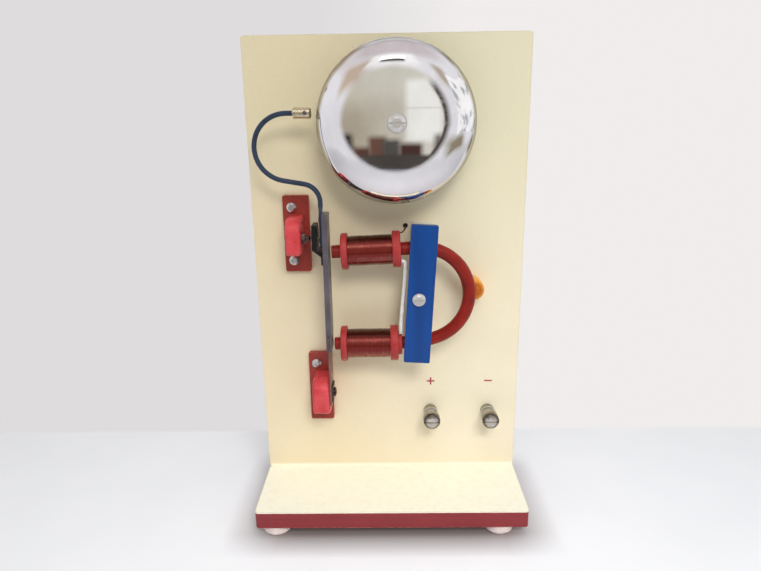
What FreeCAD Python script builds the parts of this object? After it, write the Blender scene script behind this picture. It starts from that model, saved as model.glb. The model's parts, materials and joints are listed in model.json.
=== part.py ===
import FreeCAD, Part
import math
import os
import Sketcher
from FreeCAD import Placement, Rotation, Vector

# An electric bell on an upright board, as used in class. x is to the right, y to the back and z up.
# The origin is on the table, below the middle of the base. Sizes are millimetres and degrees.
CELLS = {
    "base_width": 150, "base_depth": 75, "base_core": 9.2, "laminate": 0.8, "corner": 2,
    "foot_tall": 7, "foot_radius": 8, "foot_inset": 9, "left_foot_x": -64.5, "right_foot_x": 60,
    "board_height": 249, "board_core": 10.4, "board_front": 8.5, "screw_spread": 55,
    "mid_y": -6.5, "strike_z": 227.1,
    "gong_x": 4.5, "gong_z": 221.5, "gong_radius": 40.5, "gong_wall": 1.4, "gong_rim_y": -3,
    "gong_brim": 4.5, "gong_shoulder": 15, "gong_lean": 13.3, "post_radius": 4.5, "gong_washer": 1,
    "core_x": 17.5, "core_z": 131.2, "core_tilt": 2, "core_bend": 26, "core_radius": 3.5,
    "upper_leg": 47.1, "lower_leg": 48.9,
    "core_join": 15.6, "core_sweep": 60, "core_splay": 1.7,
    "bobbin_tube": 5, "flange_radius": 9.8, "flange_left": 3.5, "flange_right": 4.4, "coil_length": 23.8,
    "coil_radius": 8.1, "hub_radius": 6.6, "hub_length": 2.1, "upper_bobbin_u": -41.92,
    "lower_bobbin_u": -45.33,
    "bar_x": 16.85, "bar_z": 132.4, "bar_width": 14.2, "bar_height": 76.1, "bar_thick": 4, "bar_tilt": 3.3,
    "bar_hole_x": -0.9, "bar_hole_z": -1.8, "block_width": 11.6, "block_height": 73,
    "plate_height": 42.4, "plate_thick": 3, "plate_screws": 14.7, "plate_screw_x": -2.2,
    "lug_height": 20, "lug_reach": 21, "lug_crown": 8, "lug_foot": 3, "lug_soft": 1.8,
    "contact_plate_x": -50.45, "contact_plate_z": 163.3, "contact_plate_width": 14.3,
    "contact_lug_x": 0.15, "contact_lug_width": 8.2, "contact_lug_z": 0.8,
    "spring_plate_x": -40.55, "spring_plate_z": 72.2, "spring_plate_width": 13.6,
    "spring_lug_x": 1.65, "spring_lug_width": 10,
    "contact_z": 163, "clamp_z": 74.2, "insert_radius": 2.5,
    "armature_x": -34.8, "armature_thick": 3, "armature_width": 12, "armature_bottom": 100.7,
    "armature_top": 176.4, "slot_x": 0.9, "slot_deep": 8.9,
    "spring_thick": 1, "spring_bottom": 67.5, "spring_top": 109.5, "clamp_plate": 1, "clamp_height": 10,
    "strip_thick": 2.6, "strip_foot_thick": 0.9, "strip_width": 12, "strip_reach": 2.9, "strip_foot": 149.5,
    "strip_bend": 154.9, "strip_up": 157.3, "strip_top": 170.6,
    "rod_radius": 1.3, "rod_end_x": -39.9, "rod_loop_x": -51.5, "rod_loop": 16.9, "rod_dip": 10,
    "rod_elbow": 9.7, "tail_bottom": 158, "tail_top": 177, "tail_thick": 1.6, "tail_width": 5,
    "hammer_x": -38.4, "hammer_length": 9.3, "hammer_radius": 2.75,
    "terminal_left_x": 24, "terminal_right_x": 58, "terminal_z": 54.5, "collar_radius": 4,
    "collar_length": 4.5, "wire_washer": 0.8, "nut_length": 10.7, "nut_radius": 4.8, "nut_neck": 3.7,
    "stud_radius": 2,
    "lead_hole_x": 9.4, "lead_hole_z": 166.8, "rear_hole_x": -18, "rear_hole_z": 98, "sleeve_radius": 1.3,
    "lead_radius": 0.35,
    "running": 0.05,
}

doc = FreeCAD.newDocument("ElectricBell")
sheet = doc.addObject("Spreadsheet::Sheet", "dims")
nodes = []


class Size:
    """A length or an angle: its number, and the expression that gives it from the sheet's cells."""

    def __init__(self, number, text):
        self.number = number
        self.text = text

    def __add__(self, other):
        other = size(other)
        return Size(self.number + other.number, f"({self.text} + {other.text})")

    def __sub__(self, other):
        other = size(other)
        return Size(self.number - other.number, f"({self.text} - {other.text})")

    def __mul__(self, other):
        other = size(other)
        return Size(self.number * other.number, f"({self.text} * {other.text})")

    def __truediv__(self, other):
        other = size(other)
        return Size(self.number / other.number, f"({self.text} / {other.text})")

    def __neg__(self):
        return Size(-self.number, f"(-1 * {self.text})")

    def __radd__(self, other):
        return size(other) + self

    def __rsub__(self, other):
        return size(other) - self

    def __rmul__(self, other):
        return size(other) * self


def size(value):
    return value if isinstance(value, Size) else Size(float(value), f"({float(value)})")


def sine(angle):
    return Size(math.sin(math.radians(angle.number)), f"sin({angle.text} * 1 deg)")


def cosine(angle):
    return Size(math.cos(math.radians(angle.number)), f"cos({angle.text} * 1 deg)")


def root(value):
    return Size(math.sqrt(value.number), f"sqrt({value.text})")


class Sheet:
    """The sheet's cells by name."""


d = Sheet()
for row, (alias, number) in enumerate(CELLS.items(), 1):
    sheet.set(f"A{row}", alias)
    sheet.set(f"B{row}", str(number))
    sheet.setAlias(f"B{row}", alias)
    setattr(d, alias, Size(float(number), f"dims.{alias}"))
doc.recompute()

# Where the stack of boards ends, the planes of the core and the bar, and the places of the fixings
base_top = d.foot_tall + d.base_core + d.laminate
board_mid = d.board_front + d.laminate + d.board_core / 2
board_rear = d.board_front + d.laminate * 2 + d.board_core
core_face = d.mid_y + d.core_radius
bar_face = d.mid_y - d.core_radius
bar_front = bar_face - d.bar_thick
screw_x = d.bar_x + d.bar_hole_x * cosine(d.bar_tilt) + d.bar_hole_z * sine(d.bar_tilt)
screw_z = d.bar_z - d.bar_hole_x * sine(d.bar_tilt) + d.bar_hole_z * cosine(d.bar_tilt)
contact_insert_x = d.contact_plate_x + d.contact_lug_x
spring_insert_x = d.spring_plate_x + d.spring_lug_x

# Turns that point a part's own x axis somewhere else, or lean it with the piece that it sits on
TO_FRONT = (Vector(0, 0, 1), size(-90))
TO_BACK = (Vector(0, 0, 1), size(90))
TO_LEFT = (Vector(0, 0, 1), size(180))
TO_UP = (Vector(0, 1, 0), size(-90))
TO_DOWN = (Vector(0, 1, 0), size(90))
WITH_CORE = (Vector(0, -1, 0), d.core_tilt)
WITH_LOWER_LEG = (Vector(0, -1, 0), d.core_tilt - d.core_splay)
WITH_BAR = (Vector(0, 1, 0), d.bar_tilt)


def bind(thing, path, value):
    thing.setExpression(path, size(value).text)


def place(thing, at, turn=None):
    axis, angle = turn or (Vector(0, 0, 1), size(0))
    thing.Placement = Placement(Vector(*[size(v).number for v in at]), Rotation(axis, angle.number))
    for letter, value in zip("xyz", at):
        bind(thing, f".Placement.Base.{letter}", value)
    if turn in (WITH_CORE, WITH_LOWER_LEG, WITH_BAR):
        bind(thing, ".Placement.Rotation.Angle", angle)
    return thing


def node(label, thing):
    thing.Label = label
    nodes.append((label, thing))
    return thing


def new_body(name):
    return doc.addObject("PartDesign::Body", name)


def new_sketch(body, plane, offset=0):
    """A sketch on one of the body's own planes, lifted off it along its normal."""
    sketch = body.newObject("Sketcher::SketchObject", "Sketch")
    origin = next(f for f in body.Origin.OriginFeatures if f.Role == f"{plane}_Plane")
    sketch.AttachmentSupport = [(origin, "")]
    sketch.MapMode = "FlatFace"
    sketch.AttachmentOffset = Placement(Vector(0, 0, size(offset).number), Rotation())
    bind(sketch, ".AttachmentOffset.Base.z", offset)
    return sketch


def pin_point(sketch, geometry, end, point):
    """Hold a point of the sketch at its two distances from the origin."""
    for kind, axis, value in (("DistanceX", -2, point[0]), ("DistanceY", -1, point[1])):
        value = size(value)
        if value.text == size(0).text:
            sketch.addConstraint(Sketcher.Constraint("PointOnObject", geometry, end, axis))
        else:
            held = sketch.addConstraint(Sketcher.Constraint(kind, -1, 1, geometry, end, value.number))
            bind(sketch, f"Constraints[{held}]", value)


def arc_between(start, end, radius, side):
    """The short arc of this radius from start to end, bulging to the left (1) or right (-1) of the way."""
    chord = end - start
    across = Vector(-chord.y, chord.x, 0).normalize() * side
    half = chord.Length / 2
    rise = radius - math.sqrt(max(radius**2 - half**2, 0))
    return Part.Arc(start, start + chord / 2 + across * rise, end)


def draw_outline(sketch, corners, arcs=None, closed=True):
    """Sides through the corners. arcs gives the radius and the bulge of the sides that are round."""
    arcs = arcs or {}
    points = [Vector(size(a).number, size(b).number, 0) for a, b in corners]
    count = len(points) if closed else len(points) - 1
    sides = []
    for i in range(count):
        start, end = points[i], points[(i + 1) % len(points)]
        if i in arcs:
            radius, side = arcs[i]
            shape = arc_between(start, end, size(radius).number, side)
        else:
            shape = Part.LineSegment(start, end)
        sides.append(sketch.addGeometry(shape))
    # an arc's own ends run anticlockwise, so one that bulges to the right starts at its start
    ends = {i: (1, 2) if i not in arcs or arcs[i][1] < 0 else (2, 1) for i in range(count)}
    for i in range(count if closed else count - 1):
        after = (i + 1) % count
        joint = Sketcher.Constraint("Coincident", sides[i], ends[i][1], sides[after], ends[after][0])
        sketch.addConstraint(joint)
    for i in range(count):
        pin_point(sketch, sides[i], ends[i][0], corners[i])
    if not closed:
        pin_point(sketch, sides[-1], ends[count - 1][1], corners[-1])
    for i, (radius, _) in arcs.items():
        held = sketch.addConstraint(Sketcher.Constraint("Radius", sides[i], size(radius).number))
        bind(sketch, f"Constraints[{held}]", radius)
    return sketch


def draw_circles(sketch, circles):
    for x, y, radius in circles:
        centre = Vector(size(x).number, size(y).number, 0)
        ring = sketch.addGeometry(Part.Circle(centre, Vector(0, 0, 1), size(radius).number))
        pin_point(sketch, ring, 3, (x, y))
        held = sketch.addConstraint(Sketcher.Constraint("Radius", ring, size(radius).number))
        bind(sketch, f"Constraints[{held}]", radius)
    return sketch


def rounded(width, height, radius):
    """A rectangle about the origin with round corners, anticlockwise."""
    a, b = size(width) / 2, size(height) / 2
    corners = [
        (radius - a, -b), (a - radius, -b), (a, radius - b), (a, b - radius),
        (a - radius, b), (radius - a, b), (-a, b - radius), (-a, radius - b),
    ]
    return corners, {i: (radius, -1) for i in (1, 3, 5, 7)}


def pad(body, sketch, length, name="Pad"):
    feature = body.newObject("PartDesign::Pad", name)
    feature.Profile = sketch
    feature.Length = size(length).number
    bind(feature, "Length", length)
    sketch.Visibility = False
    return feature


def drill(body, plane, circles, depth=None, offset=0, outline=None):
    """Holes from a plane of the body: along its normal to a depth, or right through both ways."""
    doc.recompute()
    before = body.Tip.Shape.Volume
    sketch = new_sketch(body, plane, offset)
    if outline:
        draw_outline(sketch, *outline)
    draw_circles(sketch, circles)
    hole = body.newObject("PartDesign::Pocket", "Holes")
    hole.Profile = sketch
    if depth is None:
        hole.SideType = "Symmetric"
        hole.Type = "ThroughAll"
    else:
        hole.Reversed = True
        hole.Length = size(depth).number
        bind(hole, "Length", depth)
    doc.recompute()
    if hole.Shape.Volume > before - 0.01:
        raise RuntimeError(f"{body.Name}: the holes cut nothing")
    return hole


def plate(name, plane, outline, thick, at, turn=None, holes=()):
    """A flat piece: its outline and holes on one plane, and its thickness along the plane's normal."""
    body = new_body(name)
    sketch = new_sketch(body, plane)
    draw_outline(sketch, *outline)
    draw_circles(sketch, holes)
    pad(body, sketch, thick)
    return place(body, at, turn)


def turned(name, corners, at, turn=None, arcs=None):
    """A round piece: half its section, as (distance along the axis, radius), turned about its x axis."""
    body = new_body(name)
    sketch = draw_outline(new_sketch(body, "XY"), corners, arcs)
    spun = body.newObject("PartDesign::Revolution", "Spin")
    spun.Profile = sketch
    spun.ReferenceAxis = (sketch, ["H_Axis"])
    spun.Angle = 360
    return place(body, at, turn)


def ring(name, inner, outer, length, at, turn):
    return turned(name, [(0, inner), (length, inner), (length, outer), (0, outer)], at, turn)


def pan_screw(name, head_radius, head_tall, shank_radius, length, at, turn=None, slots=1):
    """A round-headed screw. Its x axis points out of the head, and x is zero under the head."""
    dome, slot_deep, slot_wide = size(head_radius) * 1.6, size(head_tall) * 0.45, 1.0
    shoulder = size(head_tall) * 0.55
    corners = [
        (-size(length), 0), (-size(length), size(shank_radius) - 0.4), (0.4 - size(length), shank_radius),
        (0, shank_radius), (0, head_radius), (shoulder, head_radius), (head_tall, size(head_radius) * 0.55),
        (head_tall, 0),
    ]
    body = turned(name, corners, at, turn, {5: (dome, 1)})
    slot_length = size(head_radius) * (2.2 if slots == 1 else 1.2)
    for across, along in ((slot_length, slot_wide), (slot_wide, slot_length))[:slots]:
        bars = rounded(across, along, 0.1)
        drill(body, "YZ", (), depth=slot_deep + 0.1, offset=size(head_tall) - slot_deep, outline=bars)
    return body


def hexagon(across):
    corner = size(across) / math.sqrt(3)
    angles = [math.radians(60 * i) for i in range(6)]
    return [(corner * math.cos(angle), corner * math.sin(angle)) for angle in angles]


def hex_nut(name, across, thick, bore, at, turn):
    """A nut whose x axis is its bore, from its seat outwards."""
    return plate(name, "YZ", (hexagon(across),), thick, at, turn, [(0, 0, bore)])


def group(label, pieces):
    compound = doc.addObject("Part::Compound", label)
    compound.Links = pieces
    return node(label, compound)


def wire_tube(label, points, radius, bend=0.45):
    """An insulated wire: straight runs joined by tangent arcs, each as wide as its runs allow."""
    stops = [Vector(*[size(v).number for v in p]) for p in points]
    edges, last, bends = [], stops[0], []
    for before, corner, after in zip(stops, stops[1:], stops[2:]):
        into, out = (corner - before), (after - corner)
        turn_angle = into.getAngle(out)
        reach = bend * min(into.Length, out.Length)
        bends.append(reach / math.tan(turn_angle / 2))
        into, out = into.normalize(), out.normalize()
        start, end = corner - into * reach, corner + out * reach
        middle = corner + (out - into).normalize() * bends[-1] * (1 / math.cos(turn_angle / 2) - 1)
        edges += [Part.LineSegment(last, start).toShape(), Part.Arc(start, middle, end).toShape()]
        last = end
    edges.append(Part.LineSegment(last, stops[-1]).toShape())
    path = Part.Wire(edges)
    section = Part.Wire(Part.Circle(stops[0], stops[1] - stops[0], size(radius).number).toShape())
    solid = path.makePipeShell([section], True, False)
    expected = math.pi * size(radius).number ** 2 * path.Length
    print(f"{label}: length {path.Length:.1f}, radii {[round(b, 1) for b in bends]}, "
          f"volume {solid.Volume:.1f} of {expected:.1f}")
    feature = doc.addObject("Part::Feature", label)
    feature.Shape = solid
    return feature


# The stand: base, feet and upright board

def foot_places():
    front = d.foot_inset - d.base_depth / 2
    return [(x, y) for x in (d.left_foot_x, d.right_foot_x) for y in (front, -front)]


def make_stand():
    screw_spots = [(-d.screw_spread, board_mid), (0, board_mid), (d.screw_spread, board_mid)]
    shank, clear = size(2), 2 + d.running
    outline = rounded(d.base_width, d.base_depth, d.corner)
    through = [(x, y, clear) for x, y in screw_spots]
    base = plate("BaseBoard", "XY", outline, d.base_core, (0, 0, d.foot_tall), None, through)
    drill(base, "XY", [(x, y, 4.2) for x, y in screw_spots], depth=3)
    drill(base, "XY", [(x, y, 1.5 + d.running) for x, y in foot_places()], depth=7.6)
    node("base_board", base)
    skin_z = d.foot_tall + d.base_core
    node("base_laminate", plate("BaseLaminate", "XY", outline, d.laminate, (0, 0, skin_z), None, through))
    # the screws' heads sit in counterbores 3 mm deep
    group("upright_screws", [
        pan_screw(f"UprightScrew{i}", 3.8, 2.4, shank, 32, (x, y, d.foot_tall + 3), TO_DOWN, 2)
        for i, (x, y) in enumerate(screw_spots)
    ])
    feet, screws = [], []
    for i, (x, y) in enumerate(foot_places()):
        tall, wide = d.foot_tall, d.foot_radius
        corners = [
            (0, 3.6), (3.5, 3.6), (3.5, 1.7), (tall, 1.7), (tall, wide - 0.6), (tall - 0.6, wide),
            (2.2, wide), (0, wide - 2.2),
        ]
        feet.append(turned(f"Foot{i}", corners, (x, y, 0), TO_UP, {6: (2.2, 1)}))
        screws.append(pan_screw(f"FootScrew{i}", 3, 2.2, 1.5, 10.5, (x, y, 3.5), TO_DOWN, 2))
    group("feet", feet)
    group("foot_screws", screws)


def make_board():
    def up(z):
        return z - base_top

    width, height = d.base_width, d.board_height
    sheet_outline, arcs = rounded(width, height, d.corner)
    outline = ([(x, y + height / 2) for x, y in sheet_outline], arcs)
    running = d.running
    through = [
        (d.terminal_left_x, up(d.terminal_z), d.stud_radius + running),
        (d.terminal_right_x, up(d.terminal_z), d.stud_radius + running),
        (d.lead_hole_x, up(d.lead_hole_z), d.sleeve_radius + running),
        (d.rear_hole_x, up(d.rear_hole_z), d.sleeve_radius + running),
        (d.gong_x, up(d.gong_z), 2 + running),
        (screw_x, up(screw_z), 2 + running),
        (contact_insert_x, up(d.contact_z), d.insert_radius + running),
        (spring_insert_x, up(d.clamp_z), d.insert_radius + running),
    ]
    pilots = [
        (x + d.plate_screw_x, up(z) + side * d.plate_screws, 1.6 + running)
        for x, z in bracket_places() for side in (-1, 1)
    ]
    skin, core = d.laminate, d.board_core

    def layer(name, thick, rear, holes):
        return plate(name, "XZ", outline, thick, (0, rear, base_top), None, holes)

    node("front_laminate", layer("FrontLaminate", skin, d.board_front + skin, through + pilots))
    board = layer("BackBoard", core, board_rear - skin, through + pilots)
    spots = [(x, -core / 2, 2 + running) for x in (-d.screw_spread, size(0), d.screw_spread)]
    drill(board, "XY", spots, depth=26)
    node("back_board", board)
    node("rear_laminate", layer("RearLaminate", skin, board_rear, through))


# The gong and what holds it

def make_gong():
    big, wall, lean = d.gong_shoulder, d.gong_wall, d.gong_lean
    neck = d.gong_radius - big
    crown = (neck + big * sine(lean)) / sine(lean)
    crown_x = d.gong_brim + big * cosine(lean) - crown * cosine(lean)
    hole = 2 + d.running

    def bend(cut):
        reach = big - cut
        return d.gong_brim + reach * cosine(lean), neck + reach * sine(lean)

    def top(cut, radius):
        reach = crown - cut
        return crown_x + root(reach * reach - size(radius) * radius)

    corners = [
        (0, d.gong_radius - wall), (0, d.gong_radius), (d.gong_brim, d.gong_radius), bend(0),
        (top(0, hole), hole), (top(wall, hole), hole), bend(wall), (d.gong_brim, d.gong_radius - wall),
    ]
    arcs = {2: (big, 1), 3: (crown, 1), 5: (crown - wall, -1), 6: (big - wall, -1)}
    spot = (d.gong_x, d.gong_rim_y, d.gong_z)
    node("gong", turned("Gong", corners, spot, TO_FRONT, arcs))

    seat_radius = size(6)
    seat = top(wall, seat_radius)
    gap = d.board_front - d.gong_rim_y
    face = d.gong_rim_y - seat + d.gong_washer
    post_length = gap + seat - d.gong_washer
    post = [
        (0, 2 + d.running), (post_length, 2 + d.running), (post_length, d.post_radius - 0.5),
        (post_length - 0.5, d.post_radius), (0.5, d.post_radius), (0, d.post_radius - 0.5),
    ]
    node("gong_post", turned("GongPost", post, (d.gong_x, d.board_front, d.gong_z), TO_FRONT))
    soft = ring("SeatWasher", hole, seat_radius, d.gong_washer, (d.gong_x, face, d.gong_z), TO_FRONT)
    node("gong_seat_washer", soft)
    crown_front = d.gong_rim_y - top(0, hole)
    hard = ring("GongWasher", hole, 5, 1, (d.gong_x, crown_front, d.gong_z), TO_FRONT)
    node("gong_washer", hard)
    head_y = crown_front - 1
    node("gong_screw", pan_screw("GongScrew", 4.2, 2.8, 2, 11, (d.gong_x, head_y, d.gong_z), TO_FRONT))
    behind = (d.gong_x, board_rear, d.gong_z)
    node("post_washer", ring("PostWasher", 2 + d.running, 5, 1, behind, TO_BACK))
    rear_head = (d.gong_x, board_rear + 1, d.gong_z)
    node("post_screw", pan_screw("PostScrew", 4, 2.6, 2, 20, rear_head, TO_BACK, 2))


# The electromagnet

def on_leg(along, across):
    """A point of the core's own plane, turned with the core, as x and z."""
    c, s = cosine(d.core_tilt), sine(d.core_tilt)
    return d.core_x + along * c - across * s, d.core_z + along * s + across * c


def lower_leg_start():
    """Where the wide sweep at the end of the bend runs into the straight lower leg, in the core's plane."""
    beyond = d.core_sweep - d.core_bend
    return (
        -(beyond * sine(d.core_join)) - d.core_sweep * sine(d.core_splay),
        beyond * cosine(d.core_join) - d.core_sweep * cosine(d.core_splay),
    )


def across_lower_leg(along):
    start_along, start_across = lower_leg_start()
    return start_across + (start_along - along) * sine(d.core_splay) / cosine(d.core_splay)


def make_core():
    """A round bar bent to a U. Its lower leg leaves the bend by a wide sweep behind the clamp bar."""
    body = new_body("Core")
    path = new_sketch(body, "XZ")
    bend, sweep = d.core_bend, d.core_sweep
    join = (bend * sine(d.core_join), -(bend * cosine(d.core_join)))
    corners = [
        (-d.upper_leg, bend), (0, bend), (bend, 0), join, lower_leg_start(),
        (-d.lower_leg, across_lower_leg(-d.lower_leg)),
    ]
    draw_outline(path, corners, {1: (bend, 1), 2: (bend, 1), 3: (sweep, 1)}, closed=False)
    section = draw_circles(new_sketch(body, "YZ", -d.upper_leg), [(0, bend, d.core_radius)])
    doc.recompute()
    pipe = body.newObject("PartDesign::AdditivePipe", "Bar")
    pipe.Profile = section
    pipe.Spine = (path, [f"Edge{i}" for i in range(1, 6)])
    node("u_core", place(body, (d.core_x, d.mid_y, d.core_z), WITH_CORE))


def upper_leg_point(along):
    return on_leg(along, d.core_bend)


def lower_leg_point(along):
    return on_leg(along, across_lower_leg(along))


def make_coil(name, along, leg_point, turn, hub=None):
    """A bobbin and its winding, on a leg of the core. x is zero at the bobbin's left face."""
    bore, tube, wide, edge = d.core_radius + d.running, d.bobbin_tube, d.flange_radius, 0.6
    left, right = d.flange_left, d.flange_left + d.coil_length
    end = right + d.flange_right
    ends = [(end, bore)]
    if hub:
        ends = [(end + hub, bore), (end + hub, d.hub_radius), (end, d.hub_radius)]
    corners = [
        (0, bore), *ends, (end, wide - edge), (end - edge, wide), (right + edge, wide),
        (right, wide - edge), (right, tube), (left, tube), (left, wide - edge), (left - edge, wide),
        (edge, wide), (0, wide - edge),
    ]
    x, z = leg_point(along)
    node(f"{name}_bobbin", turned(f"{name}Bobbin", corners, (x, d.mid_y, z), turn))
    x, z = leg_point(along + left + d.running)
    length = d.coil_length - d.running * 2
    coil = ring(f"{name}Winding", tube + d.running, d.coil_radius, length, (x, d.mid_y, z), turn)
    node(f"{name}_winding", coil)


def make_clamp():
    outline = rounded(d.bar_width, d.bar_height, 0.8)
    hole = [(d.bar_hole_x, d.bar_hole_z, 2 + d.running)]
    bar = plate("ClampBar", "XZ", outline, d.bar_thick, (d.bar_x, bar_face, d.bar_z), WITH_BAR, hole)
    node("clamp_bar", bar)
    thick = d.board_front - core_face
    outline = rounded(d.block_width, d.block_height, 0.8)
    block = plate("CoreBlock", "XZ", outline, thick, (d.bar_x, d.board_front, d.bar_z), WITH_BAR, hole)
    node("core_block", block)
    length = board_rear - bar_front + 6
    spot = (screw_x, bar_front, screw_z)
    node("clamp_screw", pan_screw("ClampScrew", 3.5, 2.4, 2, length, spot, TO_FRONT))


def make_pad():
    """A moulded rubber pad between the bend and the board, with a round nose outside the bend."""
    x, z = on_leg(d.core_bend, size(0))
    outline = ([(-0.8, -5.8), (4, -5.8), (4, 5.8), (-0.8, 5.8)], {1: (5.85, -1)})
    thick = d.board_front - core_face
    node("core_pad", plate("CorePad", "XZ", outline, thick, (x, d.board_front, z)))


# The two red brackets and the fixed contact

def make_bracket(name, x, z, width, lug_x, lug_z, lug_width, cross_z, insert_x):
    """A moulded bracket: a plate on the board, and a lug that stands out from it to the armature."""
    body = new_body(name)
    face = new_sketch(body, "XZ")
    draw_outline(face, *rounded(width, d.plate_height, 1.2))
    draw_circles(face, [(d.plate_screw_x, side * d.plate_screws, 1.6 + d.running) for side in (-1, 1)])
    pad(body, face, d.plate_thick, "Plate")
    low, top, reach = lug_z - d.lug_height / 2, lug_z + d.lug_height / 2, d.lug_reach
    crown, foot = d.lug_crown, d.lug_foot
    side = new_sketch(body, "YZ", lug_x - lug_width / 2)
    corners = [
        (-1, low), (foot - reach, low), (-reach, low + foot), (-reach, top - crown),
        (crown - reach, top), (-1, top),
    ]
    draw_outline(side, corners, {1: (foot, 1), 3: (crown, 1)})
    lug = pad(body, side, lug_width, "Lug")
    doc.recompute()
    lug_left, lug_right = (lug_x - lug_width / 2).number, (lug_x + lug_width / 2).number
    round_edges = []
    for i, edge in enumerate(lug.Shape.Edges, 1):
        bounds = edge.BoundBox
        flat = bounds.XLength < 0.01 and bounds.YMin < -d.plate_thick.number - 0.5
        if flat and min(abs(bounds.XMin - lug_left), abs(bounds.XMin - lug_right)) < 0.01:
            round_edges.append(f"Edge{i}")
    soft = body.newObject("PartDesign::Fillet", "SoftEdges")
    soft.Base = (lug, round_edges)
    bind(soft, "Radius", d.lug_soft)
    cross_y = d.mid_y - d.board_front
    drill(body, "XZ", [(lug_x, cross_z, insert_x + d.running)], depth=18.5)
    drill(body, "YZ", [(cross_y, cross_z, 1.5 + d.running)])
    return place(body, (x, d.board_front, z))


def make_insert(name, x, z):
    """A brass pin from inside the lug to the back of the board, cross-drilled, with a thread at its end."""
    start, wide = d.board_front - 18, d.insert_radius
    shoulder, end = board_rear - start, board_rear + 8 - start
    corners = [(0, 0), (0, wide - 0.4), (0.4, wide), (shoulder, wide), (shoulder, 2), (end, 2), (end, 0)]
    body = turned(name, corners, (x, start, z), TO_BACK)
    drill(body, "XZ", [(d.mid_y - start, 0, 1.5 + d.running)])
    return body


def bracket_places():
    return [(d.contact_plate_x, d.contact_plate_z), (d.spring_plate_x, d.spring_plate_z)]


def make_brackets():
    contact = make_bracket(
        "ContactBracket", d.contact_plate_x, d.contact_plate_z, d.contact_plate_width, d.contact_lug_x,
        d.contact_lug_z, d.contact_lug_width, d.contact_z - d.contact_plate_z, d.insert_radius,
    )
    node("contact_bracket", contact)
    spring = make_bracket(
        "SpringBracket", d.spring_plate_x, d.spring_plate_z, d.spring_plate_width, d.spring_lug_x,
        size(0), d.spring_lug_width, d.clamp_z - d.spring_plate_z, d.insert_radius,
    )
    node("spring_bracket", spring)
    seat = d.board_front - d.plate_thick
    spots = [
        (x + d.plate_screw_x, seat, z + side * d.plate_screws)
        for x, z in bracket_places() for side in (-1, 1)
    ]
    group("bracket_screws", [
        pan_screw(f"BracketScrew{i}", 2.7, 1.9, 1.6, 13, spot, TO_FRONT, 2) for i, spot in enumerate(spots)
    ])
    node("contact_insert", make_insert("ContactInsert", contact_insert_x, d.contact_z))
    node("spring_insert", make_insert("SpringInsert", spring_insert_x, d.clamp_z))


def make_contact():
    """The fixed contact: a stud through the lug with a domed tip, and its lock nut."""
    lug_face = contact_insert_x + d.contact_lug_width / 2
    tip = d.armature_x - d.strip_thick - d.strip_reach - 1 - d.running
    start = contact_insert_x - 4
    end = tip - start
    corners = [(0, 0), (0, 1.2), (0.3, 1.5), (end - 0.8, 1.5), (end, 0.6), (end, 0)]
    stud = turned("ContactStud", corners, (start, d.mid_y, d.contact_z), None, {3: (1.6, 1)})
    node("contact_stud", stud)
    nut = hex_nut("ContactNut", 5.5, 1.8, 1.5 + d.running, (lug_face, d.mid_y, d.contact_z), None)
    node("contact_lock_nut", nut)


# The armature on its spring, with the hammer

def make_spring():
    spring_x = d.armature_x + d.slot_x
    half = d.armature_width / 2
    bottom, top = d.spring_bottom, d.spring_top
    outline = ([(-half, bottom), (half, bottom), (half, top), (-half, top)],)
    rivets = [(0, z, 1 + d.running) for z in rivet_heights()[:2]]
    holes = [(0, d.clamp_z, 1.5 + d.running)] + rivets
    spring = plate("Spring", "YZ", outline, d.spring_thick, (spring_x, d.mid_y, 0), None, holes)
    node("spring_strip", spring)
    washer_x = spring_x + d.spring_thick
    clamp = rounded(10, d.clamp_height, 0.8)
    cap = plate("SpringClamp", "YZ", clamp, d.clamp_plate, (washer_x, d.mid_y, d.clamp_z), None,
                [(0, 0, 1.5 + d.running)])
    node("spring_clamp_plate", cap)
    spot = (washer_x + d.clamp_plate, d.mid_y, d.clamp_z)
    node("spring_clamp_screw", pan_screw("SpringScrew", 2.6, 1.3, 1.5, 9, spot))


def rivet_heights():
    """Rivets through the armature: two at the spring, one at the strip, two at the rod's tail."""
    low = d.armature_bottom
    return [low + 2.6, low + 6.4, d.strip_foot + 2.5, d.tail_bottom + 4, d.tail_top - 4]


def make_armature():
    x, half = d.armature_x, d.armature_width / 2
    slot = x + d.slot_x
    far = x + d.armature_thick
    low, top = d.armature_bottom, d.armature_top
    deep = low + d.slot_deep
    wide = slot + d.spring_thick + d.running
    corners = [
        (x, low), (slot - d.running, low), (slot - d.running, deep), (wide, deep), (wide, low), (far, low),
        (far, top), (x, top),
    ]
    body = plate("Armature", "XZ", (corners,), d.armature_width, (0, d.mid_y + half, 0))
    rivets = [(-half, z, 1 + d.running) for z in rivet_heights()]
    drill(body, "YZ", rivets)
    node("armature", body)

    # the contact strip's thin foot lies on the armature's left face, then it stands off towards the fixed contact
    thick, thin, reach = d.strip_thick, d.strip_foot_thick, d.strip_reach
    off = x - reach
    corners = [
        (x, d.strip_foot), (x, d.strip_bend), (off, d.strip_up), (off, d.strip_top),
        (off - thick, d.strip_top), (off - thick, d.strip_up + 0.3), (x - thin, d.strip_bend - 1),
        (x - thin, d.strip_foot),
    ]
    middle = d.strip_width / 2
    strip = plate("ContactStrip", "XZ", (corners,), d.strip_width, (0, d.mid_y + middle, 0))
    holes = [(-middle, rivet_heights()[2], 1 + d.running), (-middle, d.contact_z, 0.8 + d.running)]
    drill(strip, "YZ", holes)
    node("contact_strip", strip)
    seat = off - thick
    shank = -thick - 0.2
    dome = [(shank, 0), (shank, 0.8), (0, 0.8), (0, 1.5), (0.3, 1.5), (1, 0.5), (1, 0)]
    silver = turned("MovingContact", dome, (seat, d.mid_y, d.contact_z), TO_LEFT, {4: (1.4, -1)})
    node("moving_contact", silver)


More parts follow.
